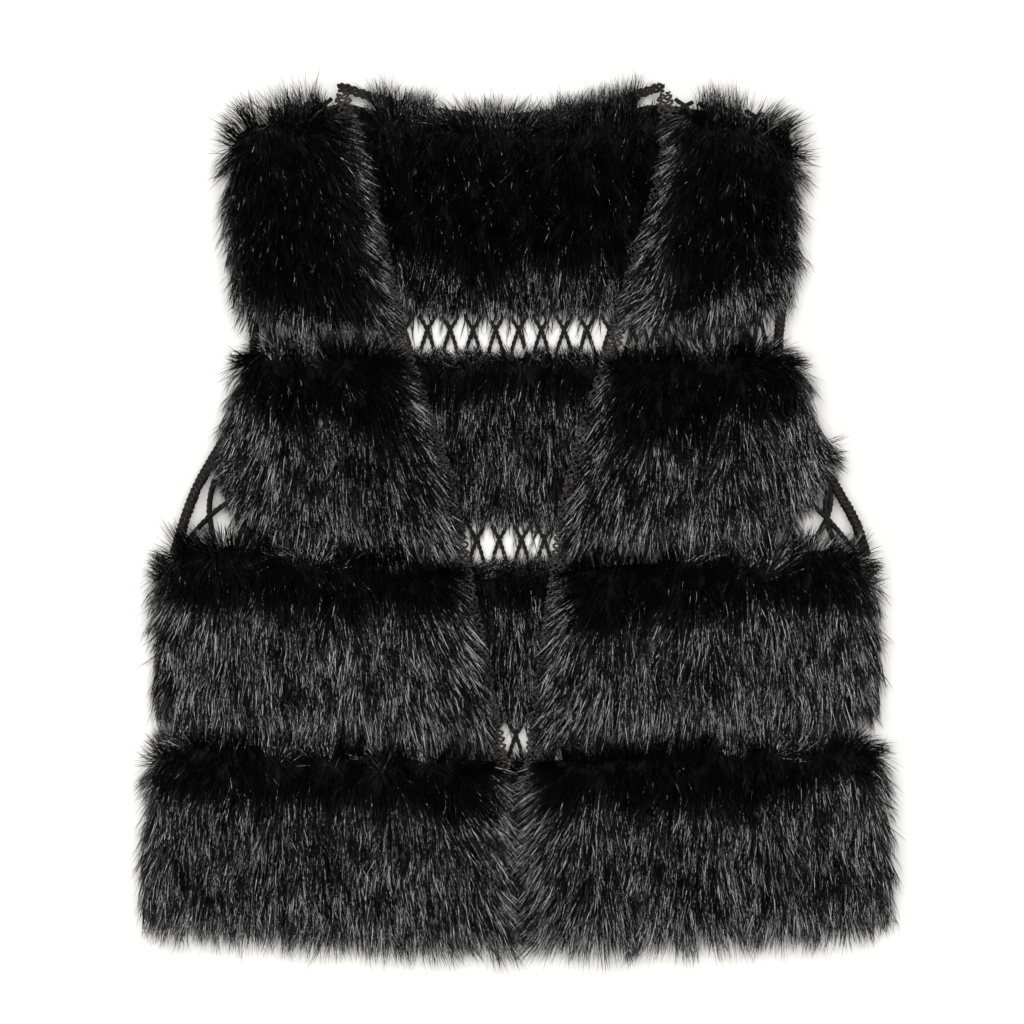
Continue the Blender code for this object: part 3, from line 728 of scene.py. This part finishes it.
COVERED_FLUNG = Growth(168.0, 176.0)
NO_FRONT_EDGE = 1000.0
LYING_LIMIT = 60
LATTICE_MARGIN = 1.6 * MM
LYING_SPAN = 0.95
SHORTEST_SHARE = 0.2
COVERED_SHARE = 0.24
OUTER_HAIRS = 38000 / 1
OUTER_HALF_WIDTH = 0.55 * MM
OUTER_WIDTH_RANGE = (0.7, 1.3)
OUTER_TURN = (22, 24.0)
OUTER_WAVER, OUTER_HAIR_TURN = 12, 9
OUTER_RISE = (17, 4)
OUTER_DROOP = (-2, 3)
OUTER_ROLL_SPREAD = 0.3
OUTER_CURL_SPREAD = 0.08
BackRow = namedtuple(
    "BackRow", "top_middle top_side bottom_middle bottom_side reach_top reach_bottom corner stand_end"
)
# Per strip: heights of the fur's edges in the middle and at the sides, reach from the centre line, corners,
# and how far down the hair stands (mm); the first one's top is the neckline
BACK_STRIPS = {
    1: BackRow(0, 0, 141, 141, 186, 181, 12, 92),
    2: BackRow(117.5, 117.5, -7, -4, 181, 200, 18, 11),
    3: BackRow(-31, -23, -146, -143, 250, 254, 15, 16),
    4: BackRow(-168, -160, -300, -288, 254, 263, 15, 30),
}


def neckline(x):
    """Height of the back's upper edge: a dip between the neck points, falling shoulders beyond them."""
    middle = (NECK_RIGHT - NECK_LEFT) / 2
    half = (NECK_RIGHT + NECK_LEFT) / 2
    share = np.abs(x - middle) / half
    dip = NECK_MIDDLE_Y + NECK_DEPTH * share**NECK_ROUND
    fall = NECK_MIDDLE_Y + NECK_DEPTH - SHOULDER_FALL * (share - 1) * half
    return np.where(share < 1, dip, fall)


def back_strip(tier):
    """The cloth of a back strip: an almost flat surface over f, left to right, and v, top to bottom."""
    row = metres(BACK_STRIPS[tier])
    half = row.reach_top - SIDE_INSET

    def surface(f, v):
        aside = np.abs(2 * f - 1)
        from_end = (1 - aside) * half
        if tier == 1:
            top = neckline((2 * f - 1) * half)
        else:
            top = row.top_middle + aside**2 * (row.top_side - row.top_middle)
        top = top - BACK_TOP_INSET[tier] - corner(from_end, row.corner)
        bottom = row.bottom_middle + aside**2 * (row.bottom_side - row.bottom_middle)
        bottom = bottom + BACK_BOTTOM_INSET[tier] + corner(from_end, row.corner)
        y = top + v * (bottom - top)
        reach = row.reach_top + v * (row.reach_bottom - row.reach_top) - SIDE_INSET
        if tier < 3:
            reach = np.minimum(reach, armhole(y) - EDGING_WIDTH)
        tall = top - bottom
        crown = rolled(from_end) * rolled(v * tall) * rolled((1 - v) * tall)
        return np.stack([(2 * f - 1) * reach, y, BACK_CLOTH_LEVEL + BACK_CLOTH_CROWN * crown + 0 * y], -1)

    surface.width = float(2 * half)
    tall = (neckline(0.0) if tier == 1 else row.top_middle) - row.bottom_middle
    surface.height = float(tall - BACK_TOP_INSET[tier] - BACK_BOTTOM_INSET[tier])
    return surface


def between_fronts(x, y, margin):
    """Whether a place of the back shows between the two front edges, give or take a margin."""
    return (x > -front_edge["left"](y) - margin) & (x < front_edge["right"](y) + margin)


def back_pile(tier, surface, area, seed):
    """The pile of one back strip: full where it shows between the fronts, thin and flat where covered."""
    chance = np.random.default_rng(seed)
    f, v, root, normal, pull, shared = tufted(surface, chance, area, (0.0, 1.0), BACK_TUFT_SPACING)
    x, y = root[:, 0], root[:, 1]
    seen = between_fronts(x, y, OPEN_MARGIN)
    rim = np.minimum(f, 1 - f) * surface.width < COVERED_SIDE
    rim = rim | (v * surface.height < COVERED_RIM) | ((1 - v) * surface.height < COVERED_RIM)
    kept = seen | (rim & (chance.uniform(size=len(f)) < COVERED_SHARE))
    f, v, root, normal, pull, shared, seen = (a[kept] for a in (f, v, root, normal, pull, shared, seen))
    aside = 2 * f - 1
    from_side = (1 - np.abs(aside)) * surface.width / 2 / MM
    from_top = v * surface.height / MM
    from_front = np.full(len(f), NO_FRONT_EDGE)
    bare = (tier == 1) & ((root[:, 0] < -NECK_FRINGE[0]) | (root[:, 0] > NECK_FRINGE[1]))
    rise, droop, azimuth, share = combed(
        root, from_top, from_front, from_side, np.sign(aside), SIDE_TURN[tier], BACK_STRIPS[tier].stand_end,
        1.0 - bare, BACK_FOLD[tier], shared, chance, seed, BACK_WAVER[tier], BACK_BLEND[tier],
    )
    share = share * np.where(bare & (from_top < BARE_DEPTH), BARE_SHARE, 1.0)
    share = share * np.where(rise > FLUNG_FROM, BACK_FRINGE_SHARE[tier], 1.0)
    room = (1 - v) * surface.height + BACK_BOTTOM_INSET[tier] + chance.normal(0, LATTICE_MARGIN, len(f))
    longest = np.maximum(room / (LYING_SPAN * HAIR_LENGTH), SHORTEST_SHARE)
    share = np.where(rise < LYING_LIMIT, np.minimum(share, longest), share)
    flung = rise > 90
    rise = np.where(seen, rise, np.where(flung, COVERED_FLUNG.rise, COVERED_LYING.rise))
    droop = np.where(seen, droop, np.where(flung, COVERED_FLUNG.droop, COVERED_LYING.droop))
    lie = lying(azimuth, normal, 1.0)
    return put_pile(f"back_pile_{tier}", root, normal, lie, rise, droop, share, pull, shared, chance)


def outer_pile(tier, surface, area, seed):
    """The pile on a back strip's outer face, pressed flat between the cloth and the surface it lies on."""
    chance = np.random.default_rng(seed)
    count = int(area * OUTER_HAIRS)
    f = (chance.uniform() + np.arange(count) * EVEN_STEPS[0]) % 1
    v = (chance.uniform() + np.arange(count) * EVEN_STEPS[1]) % 1
    root = surface(f, v) - np.array((0.0, 0.0, CLOTH_THICK))
    down = np.broadcast_to(np.array((0.0, 0.0, -1.0)), root.shape)
    from_side = (1 - np.abs(2 * f - 1)) * surface.width / 2 / MM
    azimuth = fading(from_side, *OUTER_TURN) * np.sign(2 * f - 1)
    azimuth = azimuth + OUTER_WAVER * drift(root[:, 0], root[:, 1], TURN_DRIFT, seed)
    lie = lying(azimuth + chance.normal(0, OUTER_HAIR_TURN, count), down, 1.0)
    shade = np.clip(chance.normal(SHADE_MIDDLE, SHADE_BY_HAIR, count), *SHADE_RANGE)
    width = OUTER_HALF_WIDTH * chance.uniform(*OUTER_WIDTH_RANGE, count)
    rise = chance.normal(*OUTER_RISE, count)
    droop = chance.normal(*OUTER_DROOP, count)
    length = HAIR_LENGTH * chance.normal(1, HAIR_SPREAD_SHARE, count)
    roll = chance.normal(0, OUTER_ROLL_SPREAD, count)
    curl = chance.normal(0, OUTER_CURL_SPREAD, count)
    name = f"back_outer_pile_{tier}"
    mesh = pile_mesh(name, root, down, lie, rise, droop, length, width, roll, 0 * root, curl, shade)
    pile = show(name, mesh, long_hair)
    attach(pile, "root")
    return pile


for tier in BACK_STRIPS:
    surface = back_strip(tier)
    cloth, area = cloth_shell(f"back_fur_cloth_{tier}", surface, underhair)
    pile = back_pile(tier, surface, area, 100 * tier)
    outer = outer_pile(tier, surface, area, 100 * tier + 50)
    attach(cloth, "root")
    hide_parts(f"back_band_{tier}")

# The strips are joined by lattices of crochet chain: cords of black yarn that cross in a row of tall X's,
# looped into the edges of the strips above and below. At the underarm the row fans out round the corner.
CHAIN_RADIUS = 1.65 * MM
CHAIN_PLY_RADIUS = 0.97 * MM
CHAIN_PLY_SWING = 0.62 * MM
CHAIN_TWIST = 8.0 * MM
CHAIN_RING = 5
SWELL_LEAST, SWELL_MORE, PLY_DEPTH = 0.78, 0.34, 0.12
END_MAP_RADIUS = 0.05
YARN_TINT = (1.12, 0.98, 0.95)
CHAIN_STITCH = 2.8 * MM
CHAIN_STEPS = 60
COVERED_STEPS = 14
LATTICE_PITCH = 15.8 * MM
CROSSING = 0.66
CROSSING_BOW = 1.35
CROSSING_LIFT = 1.0 * MM
CROSSING_SPAN = 0.12
FOOT_GAP = 2.3 * MM
FOOT_TUCK = 5 * MM
FOOT_FALL = 2.5 * MM
FOOT_FALL_REACH = 8 * MM
CHAIN_MARGIN = 12 * MM
FRONT_LATTICE_LEVEL = 20.0 * MM
BACK_LATTICE_LEVEL = 7.6 * MM
LATTICE_TUCK = 3 * MM
FRONT_OVERHANG = 16 * MM
FRONT_LATTICE_ENDS = (179 * MM, 200 * MM, 243 * MM)
# Ends of the back's rows of X's (mm)
BACK_LATTICE_ENDS = {1: (-167.7, 170.5), 2: (-195.6, 187.0), 3: (-242.6, 241.4)}
# Underarm cords per side: lower end, crossing and upper end, outwards and up (mm)
UNDERARM_CORDS = {
    "left": ((209, -26, 216.6, 1.9, 212.5, 27), (238, -24, 216.0, 1.6, 197, 14)),
    "right": (
        (201, -24, 218.4, -1.0, 220.2, 22), (241, -27, 219.4, -1.0, 203, 13),
        (231, -28, 218.6, -2.0, 220.4, 22),
    ),
}


def along(lines):
    """Length run from the start of each line to each of its points."""
    steps = np.linalg.norm(np.diff(lines, axis=1), axis=-1)
    return np.concatenate([np.zeros((len(lines), 1)), np.cumsum(steps, 1)], 1)


def carried(lines):
    """Unit vectors along each line, aside of it and up from it."""
    ahead = unit(np.gradient(lines, axis=1))
    aside = unit(np.cross(ahead, np.array((0.0, 0.0, 1.0))))
    return ahead, aside, np.cross(aside, ahead)


def cord_arrays(lines, radius, stitch):
    """Cords of yarn along lines of equal point counts: points, wall faces, end faces and their maps.

    Round each point a ring of a radius that swells once per stitch and, turning along the cord, once per ply;
    flat ends. The map runs round the cord and along it.
    """
    cords, steps = lines.shape[:2]
    run = along(lines)
    _, aside, upward = carried(lines)
    turn = np.arange(CHAIN_RING) * 2 * np.pi / CHAIN_RING
    swell = SWELL_LEAST + SWELL_MORE * np.abs(np.sin(np.pi * run / stitch))
    ply = PLY_DEPTH * np.cos(2 * turn - 2 * np.pi * run[..., None] / stitch)
    size = radius * (swell[..., None] + ply)
    ring = np.cos(turn)[:, None] * aside[:, :, None] + np.sin(turn)[:, None] * upward[:, :, None]
    points = lines[:, :, None] + size[..., None] * ring
    number = np.arange(cords * steps * CHAIN_RING).reshape(cords, steps, CHAIN_RING)
    beside = np.roll(number, -1, 2)
    walls = np.stack([number[:, 1:], beside[:, 1:], beside[:, :-1], number[:, :-1]], -1).reshape(-1, 4)
    ends = np.concatenate([number[:, 0], number[:, -1, ::-1]])
    round_u = np.stack([np.arange(CHAIN_RING), np.arange(1, CHAIN_RING + 1)], -1) / CHAIN_RING
    along_v = np.arange(steps) / (steps - 1)
    wall_map = np.empty((cords, steps - 1, CHAIN_RING, 4, 2))
    wall_map[..., 0] = round_u[:, (0, 1, 1, 0)]
    wall_map[..., 1] = np.stack([along_v[1:], along_v[1:], along_v[:-1], along_v[:-1]], -1)[None, :, None]
    end_ring = 0.5 + END_MAP_RADIUS * np.stack([np.cos(turn), np.sin(turn)], -1)
    end_map = np.broadcast_to(end_ring, (len(ends), CHAIN_RING, 2))
    return points.reshape(-1, 3), walls, ends, np.concatenate([wall_map.ravel(), end_map.ravel()])


def yarn_mesh(name, groups, stitch):
    """One mesh of several groups of cords, each a pair of lines and radius."""
    points, faces, maps, first = [], [], [], 0
    for lines, radius in groups:
        places, walls, ends, group_map = cord_arrays(lines, radius, stitch)
        points.append(places)
        faces += (walls + first).tolist() + (ends + first).tolist()
        maps.append(group_map)
        first += len(places)
    mesh = bpy.data.meshes.new(name)
    mesh.from_pydata(np.concatenate(points).tolist(), [], faces)
    mesh.polygons.foreach_set("use_smooth", np.ones(len(faces), bool))
    mesh.uv_layers.new(name="OFBake").data.foreach_set("uv", np.concatenate(maps))
    mesh.update()
    return mesh


def roped(lines, strands, swing, pitch):
    """Yarns of ropes along lines: each runs round its line in a screw."""
    _, aside, upward = carried(lines)
    turns = [2 * np.pi * (along(lines) / pitch + k / strands)[..., None] for k in range(strands)]
    return np.concatenate([lines + swing * (np.cos(turn) * aside + np.sin(turn) * upward) for turn in turns])


def yarn_paint(name, tones):
    """A material of spun yarn: grains about a millimetre wide in a ramp of tones."""
    return grained(name, (0.012, 0.011, 0.011, 1.0), 0.66, 0.3, tones, YARN_TINT, 650.0, 3.0, 0.8 * MM)


chain_yarn = yarn_paint("black_chain_yarn", ((0.4, 0.0015), (0.7, 0.012)))


def put_crochet(name, node, groups, yarn, flat):
    """Show a crochet piece of cords in place of a node of the frame; the flat size it is given is not used.
    """
    piece = show(name, yarn_mesh(name, groups, CHAIN_STITCH), yarn)
    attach(piece, "root")
    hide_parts(node)


def crossed(start, end, top, bottom, level, steps):
    """Cords of a row of X's from start to end between a bottom and a top line.

    Two cords per X, from foot to opposite head, bowed to the crossing and on, one over the other; the feet
    fall under the strip below.
    """
    count = max(2, int(round((end - start) / LATTICE_PITCH)))
    feet = np.linspace(start, end, count + 1)
    t = np.linspace(0, 1, steps)
    apart = np.where(t < CROSSING, (t - CROSSING) / CROSSING, (t - CROSSING) / (1 - CROSSING))
    bend = 0.5 + 0.5 * np.sign(apart) * (1 - (1 - np.abs(apart)) ** CROSSING_BOW)
    hump = CROSSING_LIFT * np.exp(-(((t - CROSSING) / CROSSING_SPAN) ** 2))
    left, right = feet[:-1] + FOOT_GAP, feet[1:] - FOOT_GAP
    rows = []
    for foot, head, over in ((left, right, 1), (right, left, -1)):
        x = foot[:, None] + (head - foot)[:, None] * bend
        low, high = bottom(foot)[:, None], top(head)[:, None]
        y = low + (high - low) * t
        fall = FOOT_FALL * np.clip(1 - (y - low) / FOOT_FALL_REACH, 0, 1)
        rows.append(np.stack([x, y, level(x, y) + over * hump - fall + 0 * x], -1))
    return np.concatenate(rows)


def underarm(side, level, steps):
    """Cords of the underarm's fan: smooth curves from the lower end over the crossing to the upper end."""
    cords = np.array(UNDERARM_CORDS[side]) * MM
    t = np.linspace(0, 1, steps)
    bend = np.array([2 * (t - 0.5) * (t - 1), -4 * t * (t - 1), 2 * t * (t - 0.5)])
    places = np.einsum("cpk,pt->ctk", cords.reshape(-1, 3, 2), bend)
    lift = CROSSING_LIFT * np.sin(np.pi * t) * np.linspace(-1, 1, len(cords))[:, None]
    return np.concatenate([places, (level + lift)[..., None]], -1)


def shown(lines):
    """Which lines of the back show between the two fronts."""
    return between_fronts(lines[:, :, 0].mean(1), lines[:, :, 1].mean(1), CHAIN_MARGIN)


def mirrored(lines, side):
    """Lines that are laid out towards the right, on the given side."""
    return lines * np.array((SIGN[side], 1.0, 1.0))


def front_line(side, tier, column, shift):
    """A front strip's top (column 0) or bottom (2) edge as height over distance from the centre line."""
    row = metres(FRONT_STRIPS[side, tier])

    def at(x):
        inner = front_edge[side](row[column]) + EDGING_WIDTH
        share = np.clip((x - inner) / (row.reach_middle - inner), 0, 1)
        return row[column] + share * (row[column + 1] - row[column]) + shift

    return at


def back_line(tier, column, shift):
    """A back strip's top (column 0) or bottom (2) edge as height over distance from the centre line."""
    row = metres(BACK_STRIPS[tier])
    return lambda x: row[column] + (np.abs(x) / row.reach_top) ** 2 * (row[column + 1] - row[column]) + shift


for row in (1, 2, 3):
    start, end = np.array(BACK_LATTICE_ENDS[row]) * MM
    top = back_line(row, 2, LATTICE_TUCK)
    bottom = back_line(row + 1, 0, -FOOT_TUCK)
    level = lambda x, y: BACK_LATTICE_LEVEL
    fine = crossed(start, end, top, bottom, level, CHAIN_STEPS)
    plain = crossed(start, end, top, bottom, level, COVERED_STEPS)
    plain = plain[~shown(fine)]
    if row == 2:
        fans = [mirrored(underarm(side, BACK_LATTICE_LEVEL, COVERED_STEPS), side) for side in SIGN]
        plain = np.concatenate([plain, *fans])
    twisted = roped(fine[shown(fine)], 2, CHAIN_PLY_SWING, CHAIN_TWIST)
    groups = [(twisted, CHAIN_PLY_RADIUS), (plain, CHAIN_RADIUS)]
    put_crochet(
        f"back_chain_lattice_{row}", f"back_lattice_{row}", groups, chain_yarn,
        (float(end - start), float(top(0.0) - bottom(0.0))),
    )
    for side in SIGN:
        top = front_line(side, row, 2, FRONT_OVERHANG + LATTICE_TUCK)
        bottom = front_line(side, row + 1, 0, -FOOT_TUCK)
        start = front_edge[side](top(0.0)) + EDGING_WIDTH
        end = FRONT_LATTICE_ENDS[row - 1]
        plain = crossed(start, end, top, bottom, lambda x, y: FRONT_LATTICE_LEVEL, COVERED_STEPS)
        groups = [(mirrored(plain, side), CHAIN_RADIUS)]
        if row == 2:
            fan = mirrored(underarm(side, FRONT_LATTICE_LEVEL, CHAIN_STEPS), side)
            groups.append((roped(fan, 2, CHAIN_PLY_SWING, CHAIN_TWIST), CHAIN_PLY_RADIUS))
        put_crochet(
            f"front_{side}_chain_lattice_{row}", f"front_{side}_lattice_{row}", groups, chain_yarn,
            (float(end - start), float(top(start) - bottom(start))),
        )

# Over each shoulder a short lattice of the same chain joins the front to the back. It slopes down to the back
# and lies between the neck edging and the armhole.
SHOULDER_TOP = 296 * MM
SHOULDER_GAP = 1 * MM
SHOULDER_TUCK = 2 * MM
SHOULDER_FLAT_HEIGHT = 26 * MM
SHOULDER_END = 176 * MM
SHOULDER_SLOPE = 0.4
for side in SIGN:
    start = front_edge[side](SHOULDER_TOP) + EDGING_WIDTH + SHOULDER_GAP
    top = lambda x: neckline(SIGN[side] * x) - SHOULDER_TUCK
    bottom = front_line(side, 1, 0, -TOP_INSET[1] + SHOULDER_TUCK)
    level = lambda x, y: FRONT_LATTICE_LEVEL - SHOULDER_SLOPE * np.maximum(0, y - bottom(x))
    lines = crossed(start, SHOULDER_END, top, bottom, level, COVERED_STEPS)
    put_crochet(
        f"shoulder_chain_lattice_{side}", f"shoulder_lattice_{side}", [(mirrored(lines, side), CHAIN_RADIUS)],
        chain_yarn, (float(SHOULDER_END - start), SHOULDER_FLAT_HEIGHT),
    )

# Flat crochet edgings run down both front edges and round the neck: rows of looped yarn worked into one
# another, as wide as a finger, sewn to the ends of the strips. The yarn of the front edges is painted greyer,
# a painted highlight for the catch-lights on its loops.
EDGING_LEVEL = 20.4 * MM
NECK_LEVEL = 8.0 * MM
EDGING_ROWS = 4
NECK_ROWS = 3
EDGING_ROW_GAP = {4: 2.5 * MM, 3: 1.9 * MM}
EDGING_SWING = {4: 1.7 * MM, 3: 0.6 * MM}
EDGING_LIFT = 0.7 * MM
EDGING_PITCH = 4.8 * MM
EDGING_RADIUS = 0.95 * MM
NECK_RADIUS = 1.25 * MM
EDGING_STEP = 0.95 * MM
EDGING_ENDS, EDGING_POINTS = (299, -300), 200
ROW_APART = 40 * MM
ROW_PHASE = 0.4
WANDER_SPAN, WANDER_SEED, WANDER_PHASE = 11 * MM, 5, 1.2
NECK_POINTS = 120
NECK_RISE, NECK_END_RISE, NECK_END_LIFT = 1 * MM, 3 * MM, 1 * MM
EDGING_FLAT_WIDTH = 13 * MM
NECK_FLAT_WIDTH = 10 * MM
# Painted highlight: the front edging's yarn has greyer tones than the chain's, for the catch-lights on its
# loops
edging_yarn_painted_highlight = yarn_paint("black_edging_yarn", ((0.4, 0.005), (0.66, 0.068)))
rope_yarn = yarn_paint("black_rope_yarn", ((0.42, 0.002), (0.7, 0.03)))


def evenly(points, step):
    """A line through points, taken again at even steps of length; one line as an array of lines."""
    run = along(points[None])[0]
    places = np.linspace(0, run[-1], int(run[-1] / step))
    return np.stack([np.interp(places, run, points[:, k]) for k in range(3)], -1)[None]


def worked(line, rows):
    """Yarns of a crochet band along a line, side by side: each loops in a sine aside and twice as fast up."""
    _, aside, upward = carried(line)
    number = np.arange(rows)[:, None]
    run = along(line)
    wander = drift(run + 0 * number, ROW_APART * number, WANDER_SPAN, WANDER_SEED)
    phase = 2 * np.pi * run / EDGING_PITCH + np.pi * (number % 2) + ROW_PHASE * number
    phase = phase + WANDER_PHASE * wander
    offset = (number - (rows - 1) / 2) * EDGING_ROW_GAP[rows] + EDGING_SWING[rows] * np.sin(phase)
    return line + offset[..., None] * aside + EDGING_LIFT * np.sin(2 * phase)[..., None] * upward


for side in SIGN:
    heights = np.linspace(*EDGING_ENDS, EDGING_POINTS) * MM
    x = SIGN[side] * (front_edge[side](heights) + EDGING_WIDTH / 2)
    line = evenly(np.stack([x, heights, 0 * heights + EDGING_LEVEL], -1), EDGING_STEP)
    put_crochet(
        f"front_crochet_edging_{side}", f"front_edging_{side}", [(worked(line, EDGING_ROWS), EDGING_RADIUS)],
        edging_yarn_painted_highlight, (EDGING_FLAT_WIDTH, float(along(line)[0, -1])),
    )

across = np.linspace(-NECK_LEFT - EDGING_WIDTH / 2, NECK_RIGHT + EDGING_WIDTH / 2, NECK_POINTS)
end_share = np.abs(2 * (across - across[0]) / (across[-1] - across[0]) - 1)
neck_line = np.stack([
    across, neckline(across) + NECK_RISE + NECK_END_RISE * end_share**2,
    NECK_LEVEL + (EDGING_LEVEL + NECK_END_LIFT - NECK_LEVEL) * end_share**4,
], -1)
line = evenly(neck_line, EDGING_STEP)
put_crochet(
    "neck_crochet_edging", "neck_edging", [(worked(line, NECK_ROWS), NECK_RADIUS)], rope_yarn,
    (NECK_FLAT_WIDTH, float(along(line)[0, -1])),
)

# Round each armhole runs a rope-like edging, one on the front and one on the back: two yarns turned about one
# another. On the right they flare out at the underarm.
ROPE_WIDTH = 7 * MM
ROPE_UNROLLED = 20 * MM
ROPE_SWING = 1.6 * MM
ROPE_PITCH = 7.4 * MM
ROPE_RADIUS = 2.0 * MM
ROPE_ENDS, ROPE_POINTS = (272, -26), 120
ROPE_OVERHANG = 1 * MM
ROPE_FLARE_TOP, ROPE_FLARE_SPAN = 25 * MM, 35 * MM
ROPE_FLARE = {"left": 0.0, "right": 5 * MM}
ROPE_STEP = {"front": 0.65 * MM, "back": 1.6 * MM}
ROPE_LEVEL = {"front": EDGING_LEVEL, "back": NECK_LEVEL}

for side in SIGN:
    for face in ROPE_LEVEL:
        heights = np.linspace(*ROPE_ENDS, ROPE_POINTS) * MM
        flare = ROPE_FLARE[side] * eased((ROPE_FLARE_TOP - heights) / ROPE_FLARE_SPAN)
        x = SIGN[side] * (armhole(heights) - ROPE_WIDTH / 2 + ROPE_OVERHANG + flare)
        line = evenly(np.stack([x, heights, 0 * heights + ROPE_LEVEL[face]], -1), ROPE_STEP[face])
        put_crochet(
            f"armhole_rope_{face}_{side}", f"armhole_edging_{face}_{side}",
            [(roped(line, 2, ROPE_SWING, ROPE_PITCH), ROPE_RADIUS)], rope_yarn,
            (ROPE_UNROLLED, float(along(line)[0, -1])),
        )
